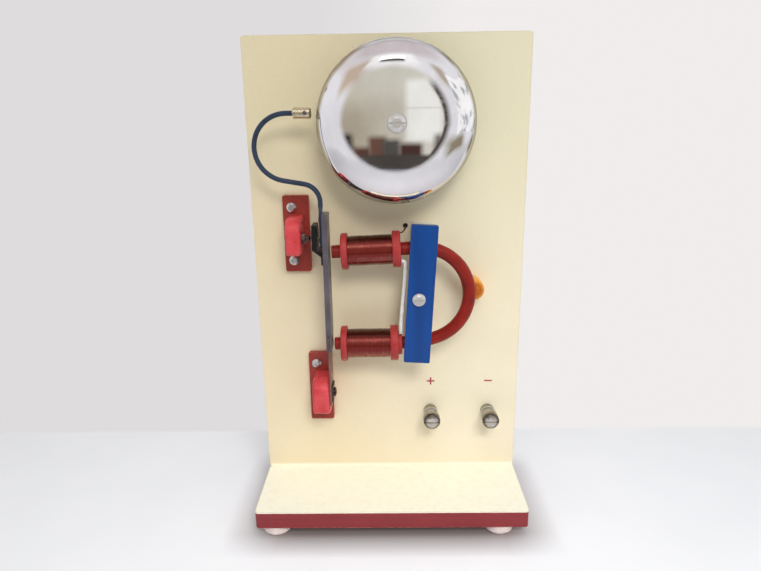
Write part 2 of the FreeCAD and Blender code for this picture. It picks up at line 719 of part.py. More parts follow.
def rivet(name, x, z, grip):
    """A rivet whose round head is on the left and whose other end is flush with the armature."""
    corners = [(-size(grip), 0), (-size(grip), 1), (0, 1), (0, 1.8), (0.5, 1.2), (0.5, 0)]
    return turned(name, corners, (x, d.mid_y, z), TO_LEFT)


def make_rivets():
    low, high, strip, tail_low, tail_high = rivet_heights()
    x, thick = d.armature_x, d.armature_thick
    group("spring_rivets", [rivet(f"SpringRivet{i}", x, z, thick) for i, z in enumerate((low, high))])
    node("strip_rivet", rivet("StripRivet", x - d.strip_foot_thick, strip, thick + d.strip_foot_thick))
    grip = thick + d.tail_thick
    group("rod_rivets", [
        rivet(f"RodRivet{i}", x - d.tail_thick, z, grip) for i, z in enumerate((tail_low, tail_high))
    ])


def make_hammer():
    """The hammer rod loops out to the left, dips, and turns down to its flattened tail."""
    loop, dip, elbow, start = d.rod_loop, d.rod_dip, d.rod_elbow, d.strike_z
    loop_z = start - loop
    low = (d.rod_loop_x - loop * sine(dip), loop_z - loop * cosine(dip))
    side = (d.rod_loop_x - loop, loop_z)
    down_x = d.armature_x - d.tail_thick / 2
    elbow_x = down_x - elbow
    turn_x = elbow_x + elbow * sine(dip)
    slope = sine(dip) / cosine(dip)
    turn_z = low[1] - (turn_x - low[0]) * slope
    elbow_z = turn_z - elbow * cosine(dip)
    corners = [
        (d.rod_end_x, start), (d.rod_loop_x, start), side, low, (turn_x, turn_z), (down_x, elbow_z),
        (down_x, d.tail_bottom + 2),
    ]
    body = new_body("HammerRod")
    path = new_sketch(body, "XZ")
    draw_outline(path, corners, {1: (loop, -1), 2: (loop, -1), 4: (elbow, 1)}, closed=False)
    section = draw_circles(new_sketch(body, "YZ", d.rod_end_x), [(0, start, d.rod_radius)])
    doc.recompute()
    pipe = body.newObject("PartDesign::AdditivePipe", "Rod")
    pipe.Profile = section
    pipe.Spine = (path, [f"Edge{i}" for i in range(1, 7)])
    doc.recompute()
    half, middle = d.tail_width / 2, (d.tail_bottom + d.tail_top) / 2
    outline, arcs = rounded(d.tail_thick, d.tail_top - d.tail_bottom, 0.3)
    tail = new_sketch(body, "XZ", -half)
    draw_outline(tail, [(px + down_x, pz + middle) for px, pz in outline], arcs)
    pad(body, tail, d.tail_width, "Tail")
    doc.recompute()
    # the tail is forged flat: what is left of the round rod beside it is cut away
    half_rod = d.rod_radius + 1
    for side_x in (down_x - d.tail_thick / 2 - half_rod, down_x + d.tail_thick / 2):
        trim = new_sketch(body, "XZ", -half_rod)
        ends = [(side_x, d.tail_bottom - 1), (side_x + half_rod, d.tail_bottom - 1),
                (side_x + half_rod, d.tail_top), (side_x, d.tail_top)]
        draw_outline(trim, ends)
        cut = body.newObject("PartDesign::Pocket", "Flat")
        cut.Profile = trim
        cut.Reversed = True
        bind(cut, "Length", half_rod * 2)
        doc.recompute()
    holes = [(0, z, 1 + d.running) for z in rivet_heights()[3:]]
    drill(body, "YZ", holes)
    node("hammer_rod", place(body, (0, d.mid_y, 0)))

    wide, length, chamfer = d.hammer_radius, d.hammer_length, 0.7
    bore, deep = d.rod_radius + d.running, d.hammer_length - (d.hammer_x - d.rod_end_x) + d.running
    corners = [
        (0, 0), (0, wide - chamfer), (chamfer, wide), (length - 0.4, wide), (length, wide - 0.4),
        (length, bore), (length - deep, bore), (length - deep, 0),
    ]
    head = turned("HammerHead", corners, (d.hammer_x, d.mid_y, start), TO_LEFT, {1: (1.4, 1)})
    screw_at = size(3)
    drill(head, "XZ", [(screw_at, 0, 1 + d.running)], depth=6, offset=-6)
    node("hammer_head", head)
    grub_y = d.mid_y - wide + 0.3
    grub = [(0, 0), (0, 0.9), (0.1, 1), (1.1, 1), (1.1, 0)]
    node("hammer_grub_screw", turned("GrubScrew", grub, (d.hammer_x - screw_at, grub_y, start), TO_BACK))


# Terminals, wires and what is behind the board

def make_terminals():
    studs, collars = [], []
    seat = d.board_front - d.collar_length
    for side, x in (("left", d.terminal_left_x), ("right", d.terminal_right_x)):
        z, bore, wide = d.terminal_z, d.stud_radius + d.running, d.collar_radius
        stud_front = seat - d.wire_washer - d.nut_length + 4
        length = board_rear + 9 - stud_front
        rod = [
            (0, 0), (0, d.stud_radius - 0.4), (0.4, d.stud_radius), (length - 0.4, d.stud_radius),
            (length, d.stud_radius - 0.4), (length, 0),
        ]
        studs.append(turned(f"Stud{side}", rod, (x, stud_front, z), TO_BACK))
        long = d.collar_length
        collar = [(0, bore), (long, bore), (long, wide - 0.9), (long - 0.9, wide), (0, wide)]
        collars.append(turned(f"Collar{side}", collar, (x, d.board_front, z), TO_FRONT))
        washer = ring(f"Washer{side}", bore, 4.3, d.wire_washer, (x, seat, z), TO_FRONT)
        node(f"{side}_clamp_washer", washer)
        tall, nut, neck, well = d.nut_length, d.nut_radius, d.nut_neck, d.nut_length - 3.2
        profile = [
            (0, bore), (0, neck - 0.3), (0.3, neck), (3.6, neck), (4.6, nut), (tall - 1.6, nut),
            (tall - 0.3, nut - 1.5), (tall, nut - 3.4), (tall, 0), (well, 0), (well, bore),
        ]
        spot = (x, seat - d.wire_washer, z)
        cap = turned(f"Nut{side}", profile, spot, TO_FRONT, {5: (1.6, 1), 6: (6, 1)})
        drill(cap, "YZ", (), depth=1.4, offset=tall - 1.2, outline=rounded(nut * 2.2, 1.1, 0.1))
        node(f"{side}_thumb_nut", cap)
    group("terminal_studs", studs)
    group("terminal_collars", collars)


def make_rear():
    """Washers, solder tags and nuts on every thread that comes out of the back of the board."""
    wired = {
        "Contact": (contact_insert_x, d.contact_z, -1), "Spring": (spring_insert_x, d.clamp_z, 1),
        "Left": (d.terminal_left_x, d.terminal_z, -1), "Right": (d.terminal_right_x, d.terminal_z, 1),
    }
    washers, nuts, tags = [], [], []
    bore, thin = d.stud_radius + d.running, size(0.8)
    for name, (x, z, up) in list(wired.items()) + [("Clamp", (screw_x, screw_z, 0))]:
        washers.append(ring(f"Washer{name}", bore, 4.5, thin, (x, board_rear, z), TO_BACK))
        seat = board_rear + thin
        if up:
            right = [(3.6, -3.6), (3.6, 2.4), (1.6, 4.4), (1.6, 10)]
            left = [(-a, b) for a, b in reversed(right)]
            outline = [(a, b * up) for a, b in right + left]
            spot = (x, seat + thin, z)
            tags.append(plate(f"Tag{name}", "XZ", (outline,), thin, spot, None, [(0, 0, bore)]))
            seat = seat + thin
        nuts.append(hex_nut(f"Nut{name}", 7, 3.2, bore, (x, seat, z), TO_BACK))
    group("rear_washers", washers)
    group("solder_tags", tags)
    group("rear_nuts", nuts)


def make_wires():
    sleeve, lead = d.sleeve_radius, d.lead_radius
    holes = [(d.lead_hole_x, d.lead_hole_z), (d.rear_hole_x, d.rear_hole_z)]
    inner, proud = lead + d.running, size(0.6)
    start, length = d.board_front - proud, board_rear - d.board_front + proud * 2
    group("lead_sleeves", [
        ring(f"Sleeve{i}", inner, sleeve, length, (x, start, z), TO_BACK) for i, (x, z) in enumerate(holes)
    ])
    mid, rear = d.mid_y, board_rear + 0.6
    whole = d.flange_left + d.coil_length + d.flange_right
    upper_x, upper_z = upper_leg_point(d.upper_bobbin_u + whole)
    lower_x, lower_z = lower_leg_point(d.lower_bobbin_u + d.flange_left)
    (front_x, front_z), (back_x, back_z) = holes
    upper_lead = wire_tube("UpperLead", [
        (upper_x - 0.15, mid + 5, upper_z + 7.8), (upper_x + 1.2, mid + 5.2, upper_z + 8),
        (front_x, mid + 9, front_z - 0.5), (front_x, d.board_front - 2.2, front_z), (front_x, rear, front_z),
    ], lead)
    lower_lead = wire_tube("LowerLead", [
        (lower_x + 0.75, mid + 8.6, lower_z - 1), (lower_x + 3, mid + 9.6, lower_z - 3),
        (back_x - 0.5, mid + 12, back_z + 0.4),
        (back_x, mid + 14, back_z), (back_x, rear, back_z),
    ], lead)
    group("coil_leads", [upper_lead, lower_lead])

    # the white link joins the two coils in series, beside the clamp bar
    low_x, low_z = lower_leg_point(d.lower_bobbin_u + whole)
    link = wire_tube("link_wire", [
        (upper_x + 0.35, mid - 0.6, upper_z - 6.6), (8.9, mid - 0.6, upper_z - 6.9), (8.7, mid - 0.7, 142),
        (7.2, mid - 0.8, 125), (6.4, mid - 2.2, 117), (low_x + 1.3, mid - 3.5, low_z + 6.4),
    ], 1.1, bend=0.49)
    node("link_wire", link)

    back, high = board_rear + 4, board_rear + 2.4
    tag_end = 9.6
    contact = [
        (contact_insert_x, high, d.contact_z - tag_end + 3),
        (contact_insert_x, high, d.contact_z - tag_end - 9),
        (-51.5, back, 128), (-50, back, 98), (-50.5, back, 66), (-44, back, 47), (-28, back, 38.5),
        (-6, back, 37), (12, back, 36.5), (d.terminal_left_x, high, d.terminal_z - tag_end - 4),
        (d.terminal_left_x, high, d.terminal_z - tag_end + 3),
    ]
    coil = [
        (front_x, rear, front_z), (front_x, rear + 3.4, front_z), (front_x + 0.6, back + 0.4, front_z - 8),
        (18, back, 148), (30, back, 133), (41, back, 112), (51, back, 92),
        (d.terminal_right_x, high, d.terminal_z + tag_end + 8),
        (d.terminal_right_x, high, d.terminal_z + tag_end - 3),
    ]
    spring = [
        (back_x, rear, back_z), (back_x, rear + 3.2, back_z), (back_x - 4, back, back_z - 3),
        (-30, back, 96), (spring_insert_x + 0.5, high, d.clamp_z + tag_end + 6),
        (spring_insert_x, high, d.clamp_z + tag_end - 3),
    ]
    for name, points in (("contact_wire", contact), ("coil_wire", coil), ("spring_wire", spring)):
        node(name, wire_tube(name, points, 0.8))


def check_and_export():
    doc.recompute()
    failed = [o.Label for o in doc.Objects if {"Invalid", "Error"} & set(o.State)]
    if failed:
        raise RuntimeError(f"failed: {failed}")
    for label, thing in nodes:
        shape = thing.Shape
        if shape.isNull() or not shape.isValid() or not shape.Solids:
            raise RuntimeError(f"{label} has no valid solid")
    os.makedirs("parts", exist_ok=True)
    for label, thing in nodes:
        thing.Shape.exportStep(f"parts/{label}.step")
    print(f"{len(nodes)} sub-parts")


make_stand()
make_board()
make_gong()
make_core()
make_coil("upper", d.upper_bobbin_u, upper_leg_point, WITH_CORE)
make_coil("lower", d.lower_bobbin_u, lower_leg_point, WITH_LOWER_LEG, d.hub_length)
make_clamp()
make_pad()
make_brackets()
make_contact()
make_spring()
make_armature()
make_rivets()
make_hammer()
make_terminals()
make_rear()
make_wires()
check_and_export()
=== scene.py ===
import json
import math

import bpy
import numpy as np
from mathutils import Matrix, Vector


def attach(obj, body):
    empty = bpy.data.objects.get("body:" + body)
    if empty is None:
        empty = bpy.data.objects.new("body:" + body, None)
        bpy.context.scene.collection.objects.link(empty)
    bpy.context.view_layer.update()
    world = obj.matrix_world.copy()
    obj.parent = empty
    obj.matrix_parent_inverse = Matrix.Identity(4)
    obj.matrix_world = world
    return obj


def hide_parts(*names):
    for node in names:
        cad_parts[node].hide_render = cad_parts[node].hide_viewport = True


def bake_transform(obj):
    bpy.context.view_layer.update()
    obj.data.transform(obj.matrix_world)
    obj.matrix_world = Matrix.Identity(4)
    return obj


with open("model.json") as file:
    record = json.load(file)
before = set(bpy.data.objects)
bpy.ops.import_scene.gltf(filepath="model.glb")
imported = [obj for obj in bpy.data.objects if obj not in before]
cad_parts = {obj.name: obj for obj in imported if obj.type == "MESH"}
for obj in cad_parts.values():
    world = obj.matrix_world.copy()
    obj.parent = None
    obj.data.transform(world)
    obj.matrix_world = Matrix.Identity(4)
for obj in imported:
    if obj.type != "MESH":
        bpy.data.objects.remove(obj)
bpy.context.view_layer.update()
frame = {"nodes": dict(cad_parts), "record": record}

mm = 0.001
nodes = frame["nodes"]
print("bell: frame loaded")


def toLinear(hexText):
    # an sRGB hex value turned to the linear colour that the shaders work in
    parts = [int(hexText[i:i + 2], 16) / 255 for i in (1, 3, 5)]
    return [p / 12.92 if p <= 0.04045 else ((p + 0.055) / 1.055) ** 2.4 for p in parts] + [1.0]


def addNode(tree, kind, settings=None, links=None):
    # one node: its properties, its socket values (text is a hex colour) and the sockets that feed it
    node = tree.nodes.new("ShaderNode" + kind)
    for key, value in (settings or {}).items():
        if isinstance(key, str) and hasattr(node, key):
            setattr(node, key, value)
        else:
            node.inputs[key].default_value = toLinear(value) if isinstance(value, str) else value
    for key, source in (links or {}).items():
        tree.links.new(source, node.inputs[key])
    return node


def newMaterial(name):
    # an empty node tree with one shader on its output, and Object coordinates for its patterns
    material = bpy.data.materials.new(name)
    material.use_nodes = True
    tree = material.node_tree
    tree.nodes.clear()
    spot = addNode(tree, "TexCoord").outputs["Object"]
    shader = addNode(tree, "BsdfPrincipled")
    addNode(tree, "OutputMaterial", None, {"Surface": shader.outputs["BSDF"]})
    return material, tree, shader, spot


def patches(tree, spot, sizeMm, low, high, strength=1.0, stretch=(1, 1, 1), detail=3.0, least=0.0):
    # clouds about sizeMm across, drawn out where stretch is small: the share is least where the noise is
    # under low, and least + strength where it is over high
    scaled = addNode(tree, "Mapping", {"Scale": stretch}, {"Vector": spot})
    noise = addNode(tree, "TexNoise", {"Scale": 1 / (sizeMm * mm), "Detail": detail},
                    {"Vector": scaled.outputs["Vector"]})
    limits = {"From Min": low, "From Max": high, "To Min": least, "To Max": least + strength}
    return addNode(tree, "MapRange", limits, {"Value": noise.outputs["Fac"]}).outputs["Result"]


def beyond(tree, limits, within=None):
    # each limit is (source, low, high): its share goes from 0 at low to 1 at high, and they are multiplied
    share = within
    for source, low, high in limits:
        ramp = addNode(tree, "MapRange", {"From Min": low, "From Max": high}, {"Value": source}).outputs[0]
        if share is None:
            share = ramp
        else:
            share = addNode(tree, "Math", {"operation": "MULTIPLY"}, {0: share, 1: ramp}).outputs["Value"]
    return share


def oblong(tree, across, upward, centre, halfSize, soft, within=None):
    # 1 where both distances from an oblong's centre are under its half sizes, times another share if given
    limits = []
    blurs = np.broadcast_to(soft, 2).tolist()
    for source, middle, half, blur in zip((across, upward), centre, halfSize, blurs):
        off = addNode(tree, "Math", {"operation": "SUBTRACT", 1: middle}, {0: source})
        size = addNode(tree, "Math", {"operation": "ABSOLUTE"}, {0: off.outputs["Value"]})
        limits.append((size.outputs["Value"], half + blur, half - blur))
    return beyond(tree, limits, within)


def wornEdges(tree, widthMm, strength, broken=None):
    # the rounded normal times the true one falls below 1 only along edges, and patches break the line up
    rounded = addNode(tree, "Bevel", {"samples": 4, "Radius": widthMm * mm})
    flat = addNode(tree, "NewGeometry")
    match = addNode(tree, "VectorMath", {"operation": "DOT_PRODUCT"},
                    {0: rounded.outputs["Normal"], 1: flat.outputs["Normal"]})
    edge = addNode(tree, "MapRange", {"From Min": 0.995, "From Max": 0.9, "To Max": strength},
                   {"Value": match.outputs["Value"]})
    if broken is None:
        return edge.outputs["Result"]
    both = addNode(tree, "Math", {"operation": "MULTIPLY"}, {0: edge.outputs["Result"], 1: broken})
    return both.outputs["Value"]


def layColours(tree, ground, layers):
    # coats one over another: each layer is (where, colour), and where runs from 0 to 1
    last = ground
    for where, colour in layers:
        coat = addNode(tree, "Mix", {"data_type": "RGBA"}, {0: where})
        for socket, value in ((6, last), (7, colour)):
            if isinstance(value, str):
                coat.inputs[socket].default_value = toLinear(value)
            else:
                tree.links.new(value, coat.inputs[socket])
        last = coat.outputs[2]
    return last


def finishSurface(tree, shader, colour, roughness, relief, depthMm, values=None):
    # colour, roughness and a relief depthMm deep go to the shader; values are the same all over the surface
    bump = addNode(tree, "Bump", {"Strength": 0.5, "Distance": depthMm * mm}, {"Height": relief})
    sources = {"Base Color": colour, "Roughness": roughness, "Normal": bump.outputs["Normal"]}
    for socket, source in sources.items():
        tree.links.new(source, shader.inputs[socket])
    for socket, value in (values or {}).items():
        shader.inputs[socket].default_value = value


def putMesh(name, points, faces, material, body, replaced=(), sharpAngle=35):
    # points in metres and faces become a piece; each face is cut into triangles (a, b, c) from its first
    # corner, and where the sum of a . (b x c) is below 0, the faces point inwards and are turned round
    points = np.asarray(points)
    mesh = bpy.data.meshes.new(name)
    mesh.from_pydata(points.tolist(), [], faces)
    mesh.update()
    triangles = np.array([(f[0], f[i], f[i + 1]) for f in faces for i in range(1, len(f) - 1)])
    a, b, c = (points[triangles[:, corner]] for corner in range(3))
    if (a * np.cross(b, c)).sum() < 0:
        mesh.flip_normals()
    mesh.shade_smooth()
    mesh.set_sharp_from_angle(angle=math.radians(sharpAngle))
    piece = bpy.data.objects.new(name, mesh)
    bpy.context.scene.collection.objects.link(piece)
    piece.data.materials.append(material)
    if body:
        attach(piece, body)
    if replaced:
        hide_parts(*replaced)
    return piece


def gridFaces(rows, columns, closeRows=False):
    # quads between neighbouring rings of a grid whose columns go right round, and a face over each open end
    row = np.arange(rows if closeRows else rows - 1)[:, None]
    column = np.arange(columns)[None, :]
    after, beside = (row + 1) % rows, (column + 1) % columns
    quads = np.stack([row * columns + column, row * columns + beside, after * columns + beside,
                      after * columns + column], -1).reshape(-1, 4).tolist()
    if not closeRows:
        quads.append(list(range(columns))[::-1])
        quads.append(list(range((rows - 1) * columns, rows * columns)))
    return quads


def lathe(name, profile, base, axis, material, body, replaced=(), sides=96, ripple=None, ring=False,
          sharpAngle=35):
    # a profile of (along, radius) turned about an axis: base + along * axis + radius * a unit circle
    axis = np.array(axis, float) / np.linalg.norm(axis)
    first = np.cross(axis, (0, 0, 1.0) if abs(axis[2]) < 0.9 else (1.0, 0, 0))
    first /= np.linalg.norm(first)
    second = np.cross(axis, first)
    angle = np.linspace(0, 2 * np.pi, sides, endpoint=False)
    profile = np.asarray(profile, float)
    along = profile[:, :1] * np.ones((1, sides))
    radius = profile[:, 1:2] * np.ones((1, sides))
    if ripple is not None:
        radius = ripple(along, radius, angle[None, :])
    circle = np.cos(angle)[None, :, None] * first + np.sin(angle)[None, :, None] * second
    points = (np.asarray(base, float) + along[..., None] * axis + radius[..., None] * circle) * mm
    faces = gridFaces(len(profile), sides, closeRows=ring)
    return putMesh(name, points.reshape(-1, 3), faces, material, body, replaced, sharpAngle)


def arcPoints(centre, radius, startDeg, endDeg, count):
    # points on a circle, at even steps of the angle: centre + radius * (cos, sin)
    angle = np.radians(np.linspace(startDeg, endDeg, count))
    return np.stack([centre[0] + radius * np.cos(angle), centre[1] + radius * np.sin(angle)], 1)


def tubeGrid(path, radius, sides, flatNormal):
    # circles square to the path; one side of each circle keeps to the direction flatNormal
    path = np.asarray(path, float)
    tangent = np.gradient(path, axis=0)
    tangent /= np.linalg.norm(tangent, axis=1)[:, None]
    side = np.cross(tangent, flatNormal)
    side /= np.linalg.norm(side, axis=1)[:, None]
    up = np.cross(side, tangent)
    angle = np.linspace(0, 2 * np.pi, sides, endpoint=False)
    radius = np.broadcast_to(np.asarray(radius, float), (len(path),))
    circle = np.cos(angle)[None, :, None] * side[:, None] + np.sin(angle)[None, :, None] * up[:, None]
    return (path[:, None] + radius[:, None, None] * circle) * mm


cameraFacts = {"spot": (0.00012, -0.3195, 0.2216), "yaw": -0.01529, "pitch": 0.26522, "roll": -0.015024,
               "lens": 28.26}


def makeCamera():
    # the view is the yaw and pitch as a direction, with right and up turned about it by the roll
    facts = cameraFacts
    yaw, pitch, roll = facts["yaw"], facts["pitch"], facts["roll"]
    ahead = Vector((math.sin(yaw) * math.cos(pitch), math.cos(yaw) * math.cos(pitch), -math.sin(pitch)))
    right = Vector((math.cos(yaw), -math.sin(yaw), 0))
    up = right.cross(ahead)
    turnedRight = math.cos(roll) * right + math.sin(roll) * up
    turnedUp = math.cos(roll) * up - math.sin(roll) * right
    data = bpy.data.cameras.new("bellCamera")
    data.sensor_width, data.lens = 36, facts["lens"]
    data.clip_start, data.clip_end = 0.01, 50
    camera = bpy.data.objects.new("bellCamera", data)
    turn = Matrix((turnedRight, turnedUp, -ahead)).transposed().to_4x4()
    camera.matrix_world = Matrix.Translation(facts["spot"]) @ turn
    bpy.context.scene.collection.objects.link(camera)
    bpy.context.scene.camera = camera


def makeLaminate(name, pale, deep, high, base):
    # melamine-faced laminate, hot pressed: a fine pearl stipple and a soft sheen, with faint handling marks;
    # painted shade greens and darkens the upright sheet towards its top and warms it at its left, and painted
    # light makes the base's the palest
    material, tree, shader, spot = newMaterial(name)
    x, _, height = addNode(tree, "SeparateXYZ", None, {"Vector": spot}).outputs
    leftwards = {"From Min": 0.035, "From Max": -0.03, "To Max": 0.38}
    leftShade = addNode(tree, "MapRange", leftwards, {"Value": x}).outputs["Result"]
    colour = layColours(tree, pale, [
        (patches(tree, spot, 38, 0.35, 0.7, 0.7, detail=4), deep),
        # painted shade: the upright sheet darker and greener towards its top
        (beyond(tree, [(height, 0.04, 0.23)]), high),
        # painted shade: darker and warmer towards the left
        (leftShade, "#E4CC9C"),
        # painted light: the base, under 18 mm high, is the palest
        (beyond(tree, [(height, 0.0195, 0.018)]), base),
        (patches(tree, spot, 3.2, 0.45, 0.8, 0.3), deep),
        (patches(tree, spot, 0.9, 0.735, 0.78, 0.3, detail=1), "#9A8C70"),
        (wornEdges(tree, 0.8, 0.5), "#C9B58C"),
    ])
    rough = patches(tree, spot, 14, 0.3, 0.75, 0.16, detail=5, least=0.36)
    finishSurface(tree, shader, colour, rough, patches(tree, spot, 0.45, 0, 1, detail=2), 0.03)
    return material


def makeEdgePaint():
    # gloss paint brushed on the boards' edges over sealed ply: streaks along the edge and rubbed corners
    material, tree, shader, spot = newMaterial("maroonBrushedPaint")
    streak = {"stretch": (0.05, 0.05, 1.0), "detail": 4}
    colour = layColours(tree, "#86282B", [
        (patches(tree, spot, 1.1, 0.35, 0.7, **streak), "#933134"),
        (patches(tree, spot, 11, 0.4, 0.75, 0.55), "#7E2629"),
        (wornEdges(tree, 0.7, 1.0, patches(tree, spot, 2.4, 0.42, 0.62)), "#C08A72"),
    ])
    rough = patches(tree, spot, 1.1, 0.3, 0.7, 0.18, least=0.32, **streak)
    finishSurface(tree, shader, colour, rough, patches(tree, spot, 1.1, 0, 1, **streak), 0.05)
    return material


def makeEnamelledSteel(name, main, dark, bare, rough, wear=0.8, stretch=(1, 1, 1), metal=0.0):
    # enamel or varnish on bar or rod: slightly wavy, with flecks, and rubbed through to metal on its edges
    material, tree, shader, spot = newMaterial(name)
    colour = layColours(tree, main, [
        (patches(tree, spot, 9, 0.35, 0.7, stretch=stretch, detail=4), dark),
        (patches(tree, spot, 0.7, 0.7, 0.76, 0.4, detail=2), bare),
        (wornEdges(tree, 0.35, wear, patches(tree, spot, 3, 0.5, 0.66, detail=4)), bare),
    ])
    sheen = patches(tree, spot, 5, 0.3, 0.7, 0.14, stretch, 4, rough)
    relief = patches(tree, spot, 0.8, 0, 1, stretch=stretch)
    finishSurface(tree, shader, colour, sheen, relief, 0.03, {"Metallic": metal, "Specular IOR Level": 0.35})
    return material


def makeMetal(name, main, dark, tarnish, rough, grainMm, spots=0.3, stretch=(1, 1, 1)):
    # bare or plated metal: fine tool marks along the work and a few dull spots
    material, tree, shader, spot = newMaterial(name)
    colour = layColours(tree, main, [
        (patches(tree, spot, grainMm, 0.3, 0.7, stretch=stretch), dark),
        (patches(tree, spot, 2.6, 0.55, 0.72, spots, detail=4), tarnish),
    ])
    sheen = patches(tree, spot, 1.7, 0.3, 0.75, 0.16, detail=4, least=rough)
    relief = patches(tree, spot, grainMm, 0, 1, stretch=stretch)
    finishSurface(tree, shader, colour, sheen, relief, 0.01, {"Metallic": 1.0})
    return material


def makeKnurledNickel():
    # nickel-plated thumb nuts with a few dark specks; painted shade darkens the knurls round the domed face,
    # most towards the front, for the dark rim of the head
    material, tree, shader, spot = newMaterial("rimShadedNickelPlate")
    x, y, z = addNode(tree, "SeparateXYZ", None, {"Vector": spot}).outputs
    middle = (nutFacts["x"]["left"] + nutFacts["x"]["right"]) / 2 * mm
    fromMiddle = addNode(tree, "Math", {"operation": "SUBTRACT", 1: middle}, {0: x})
    aside = addNode(tree, "Math", {"operation": "ABSOLUTE"}, {0: fromMiddle.outputs["Value"]})
    flat = addNode(tree, "CombineXYZ", None, {"X": aside.outputs["Value"], "Z": z})
    axis = (nutFacts["x"]["right"] * mm - middle, 0, nutFacts["z"] * mm)
    fromAxis = addNode(tree, "VectorMath", {"operation": "DISTANCE", 1: axis}, {0: flat.outputs["Vector"]})
    frontwards = {"From Min": -0.0034, "From Max": -0.005, "To Min": 0.35, "To Max": 0.95}
    front = addNode(tree, "MapRange", frontwards, {"Value": y})
    # painted shade: a dark ring round the face, darkest at the front
    rimShade = beyond(tree, [(fromAxis.outputs["Value"], 0.0026, 0.0042)], front.outputs["Result"])
    colour = layColours(tree, "#E4DFD8", [
        (patches(tree, spot, 1.1, 0.35, 0.7), "#C8C1B6"),
        (rimShade, "#5A5247"),
        (patches(tree, spot, 0.9, 0.5, 0.7, 0.5), "#5C554C"),
    ])
    sheen = patches(tree, spot, 1.7, 0.3, 0.75, 0.14, detail=4, least=0.1)
    finishSurface(tree, shader, colour, sheen, patches(tree, spot, 0.5, 0, 1), 0.01, {"Metallic": 1.0})
    return material


def makeGongPlate():
    # chromium plate on pressed steel, polished: a clear mirror with faint wiping marks and pressing waves;
    # towards the brim the plate is coloured darker, a painted shade for the dark outline round its rim
    material, tree, shader, spot = newMaterial("polishedChromiumPlate")
    depth = addNode(tree, "SeparateXYZ", None, {"Vector": spot}).outputs["Y"]
    backwards = {"From Min": -0.0172, "From Max": -0.0128, "To Max": 0.95}
    brim = addNode(tree, "MapRange", backwards, {"Value": depth})
    colour = layColours(tree, "#F7F5F5", [
        (patches(tree, spot, 16, 0.35, 0.7, detail=5), "#E9E6E6"),
        # painted shade: darker towards the brim's edge
        (brim.outputs["Result"], "#85807E"),
        (patches(tree, spot, 0.8, 0.74, 0.78, 0.25, detail=1), "#A5A19D"),
    ])
    rough = patches(tree, spot, 1.2, 0.45, 0.85, 0.08, (0.12, 1, 1), 4, 0.035)
    waves = patches(tree, spot, 12, 0, 1, detail=1)
    finishSurface(tree, shader, colour, rough, waves, 0.02, {"Metallic": 1.0})
    return material


def makeMouldedPlastic(name, main, light, dust, rough=0.28, glow=0.12, plateFrom=None, plateShade="#8C3627"):
    # injection-moulded polystyrene: glossy, a little see-through, with flow marks, scuffs and orange peel
    material, tree, shader, spot = newMaterial(name)
    layers = [(patches(tree, spot, 7, 0.35, 0.7, stretch=(1, 1, 0.4)), light)]
    if plateFrom is not None:
        # the screwed-down plate, from plateFrom millimetres back, is coloured darker than the lug that stands
        # on it
        depth = addNode(tree, "SeparateXYZ", None, {"Vector": spot}).outputs["Y"]
        limits = {"From Min": (plateFrom - 1.2) * mm, "From Max": plateFrom * mm, "To Max": 0.85}
        layers.append((addNode(tree, "MapRange", limits, {"Value": depth}).outputs["Result"], plateShade))
    layers.append((patches(tree, spot, 0.8, 0.62, 0.76, 0.3), dust))
    layers.append((wornEdges(tree, 0.5, 0.4), light))
    sheen = patches(tree, spot, 4, 0.3, 0.7, 0.14, detail=4, least=rough)
    values = {"Subsurface Weight": glow, "Subsurface Radius": (1.0, 0.25, 0.15), "Subsurface Scale": 0.0015,
              "Specular IOR Level": 0.35}
    colour = layColours(tree, main, layers)
    finishSurface(tree, shader, colour, sheen, patches(tree, spot, 1.4, 0, 1), 0.02, values)
    return material


def makeRubber(name, main, dark, rough=0.6):
    # moulded rubber, and fibre board: matt, with a fine bloom and rubbed patches
    material, tree, shader, spot = newMaterial(name)
    colour = layColours(tree, main, [(patches(tree, spot, 2.5, 0.35, 0.7, detail=4), dark)])
    bloom = patches(tree, spot, 1.2, 0.3, 0.7, 0.2, least=rough)
    finishSurface(tree, shader, colour, bloom, patches(tree, spot, 0.4, 0, 1), 0.03)
    return material


def padMiddle():
    # a spot in metres behind the pad's face, from which its thin rim is farthest
    x, z = coreToWorld(coreFacts["bend"] + padFacts["middle"], 0)
    return x * mm, padFacts["glowY"] * mm, z * mm


def makeAmber():
    # clear amber silicone, cast: its thin rim is painted paler and yellower, a painted glow for the light
    # that passes through it, and its skin looks wet
    material, tree, shader, spot = newMaterial("amberSilicone")
    fromMiddle = addNode(tree, "VectorMath", {"operation": "DISTANCE", 1: padMiddle()}, {0: spot})
    # painted light: paler and yellower towards the thin rim
    rim = beyond(tree, [(fromMiddle.outputs["Value"], 0.0035, 0.0062)])
    colour = layColours(tree, "#A95604", [
        (patches(tree, spot, 3, 0.35, 0.7), "#CC7412"),
        (rim, "#EDA42A"),
    ])
    sheen = patches(tree, spot, 2, 0.3, 0.7, 0.14, least=0.16)
    values = {"Subsurface Weight": 0.6, "Subsurface Radius": (1.0, 0.5, 0.15), "Subsurface Scale": 0.004}
    finishSurface(tree, shader, colour, sheen, patches(tree, spot, 2.2, 0, 1, detail=2), 0.06, values)
    return material


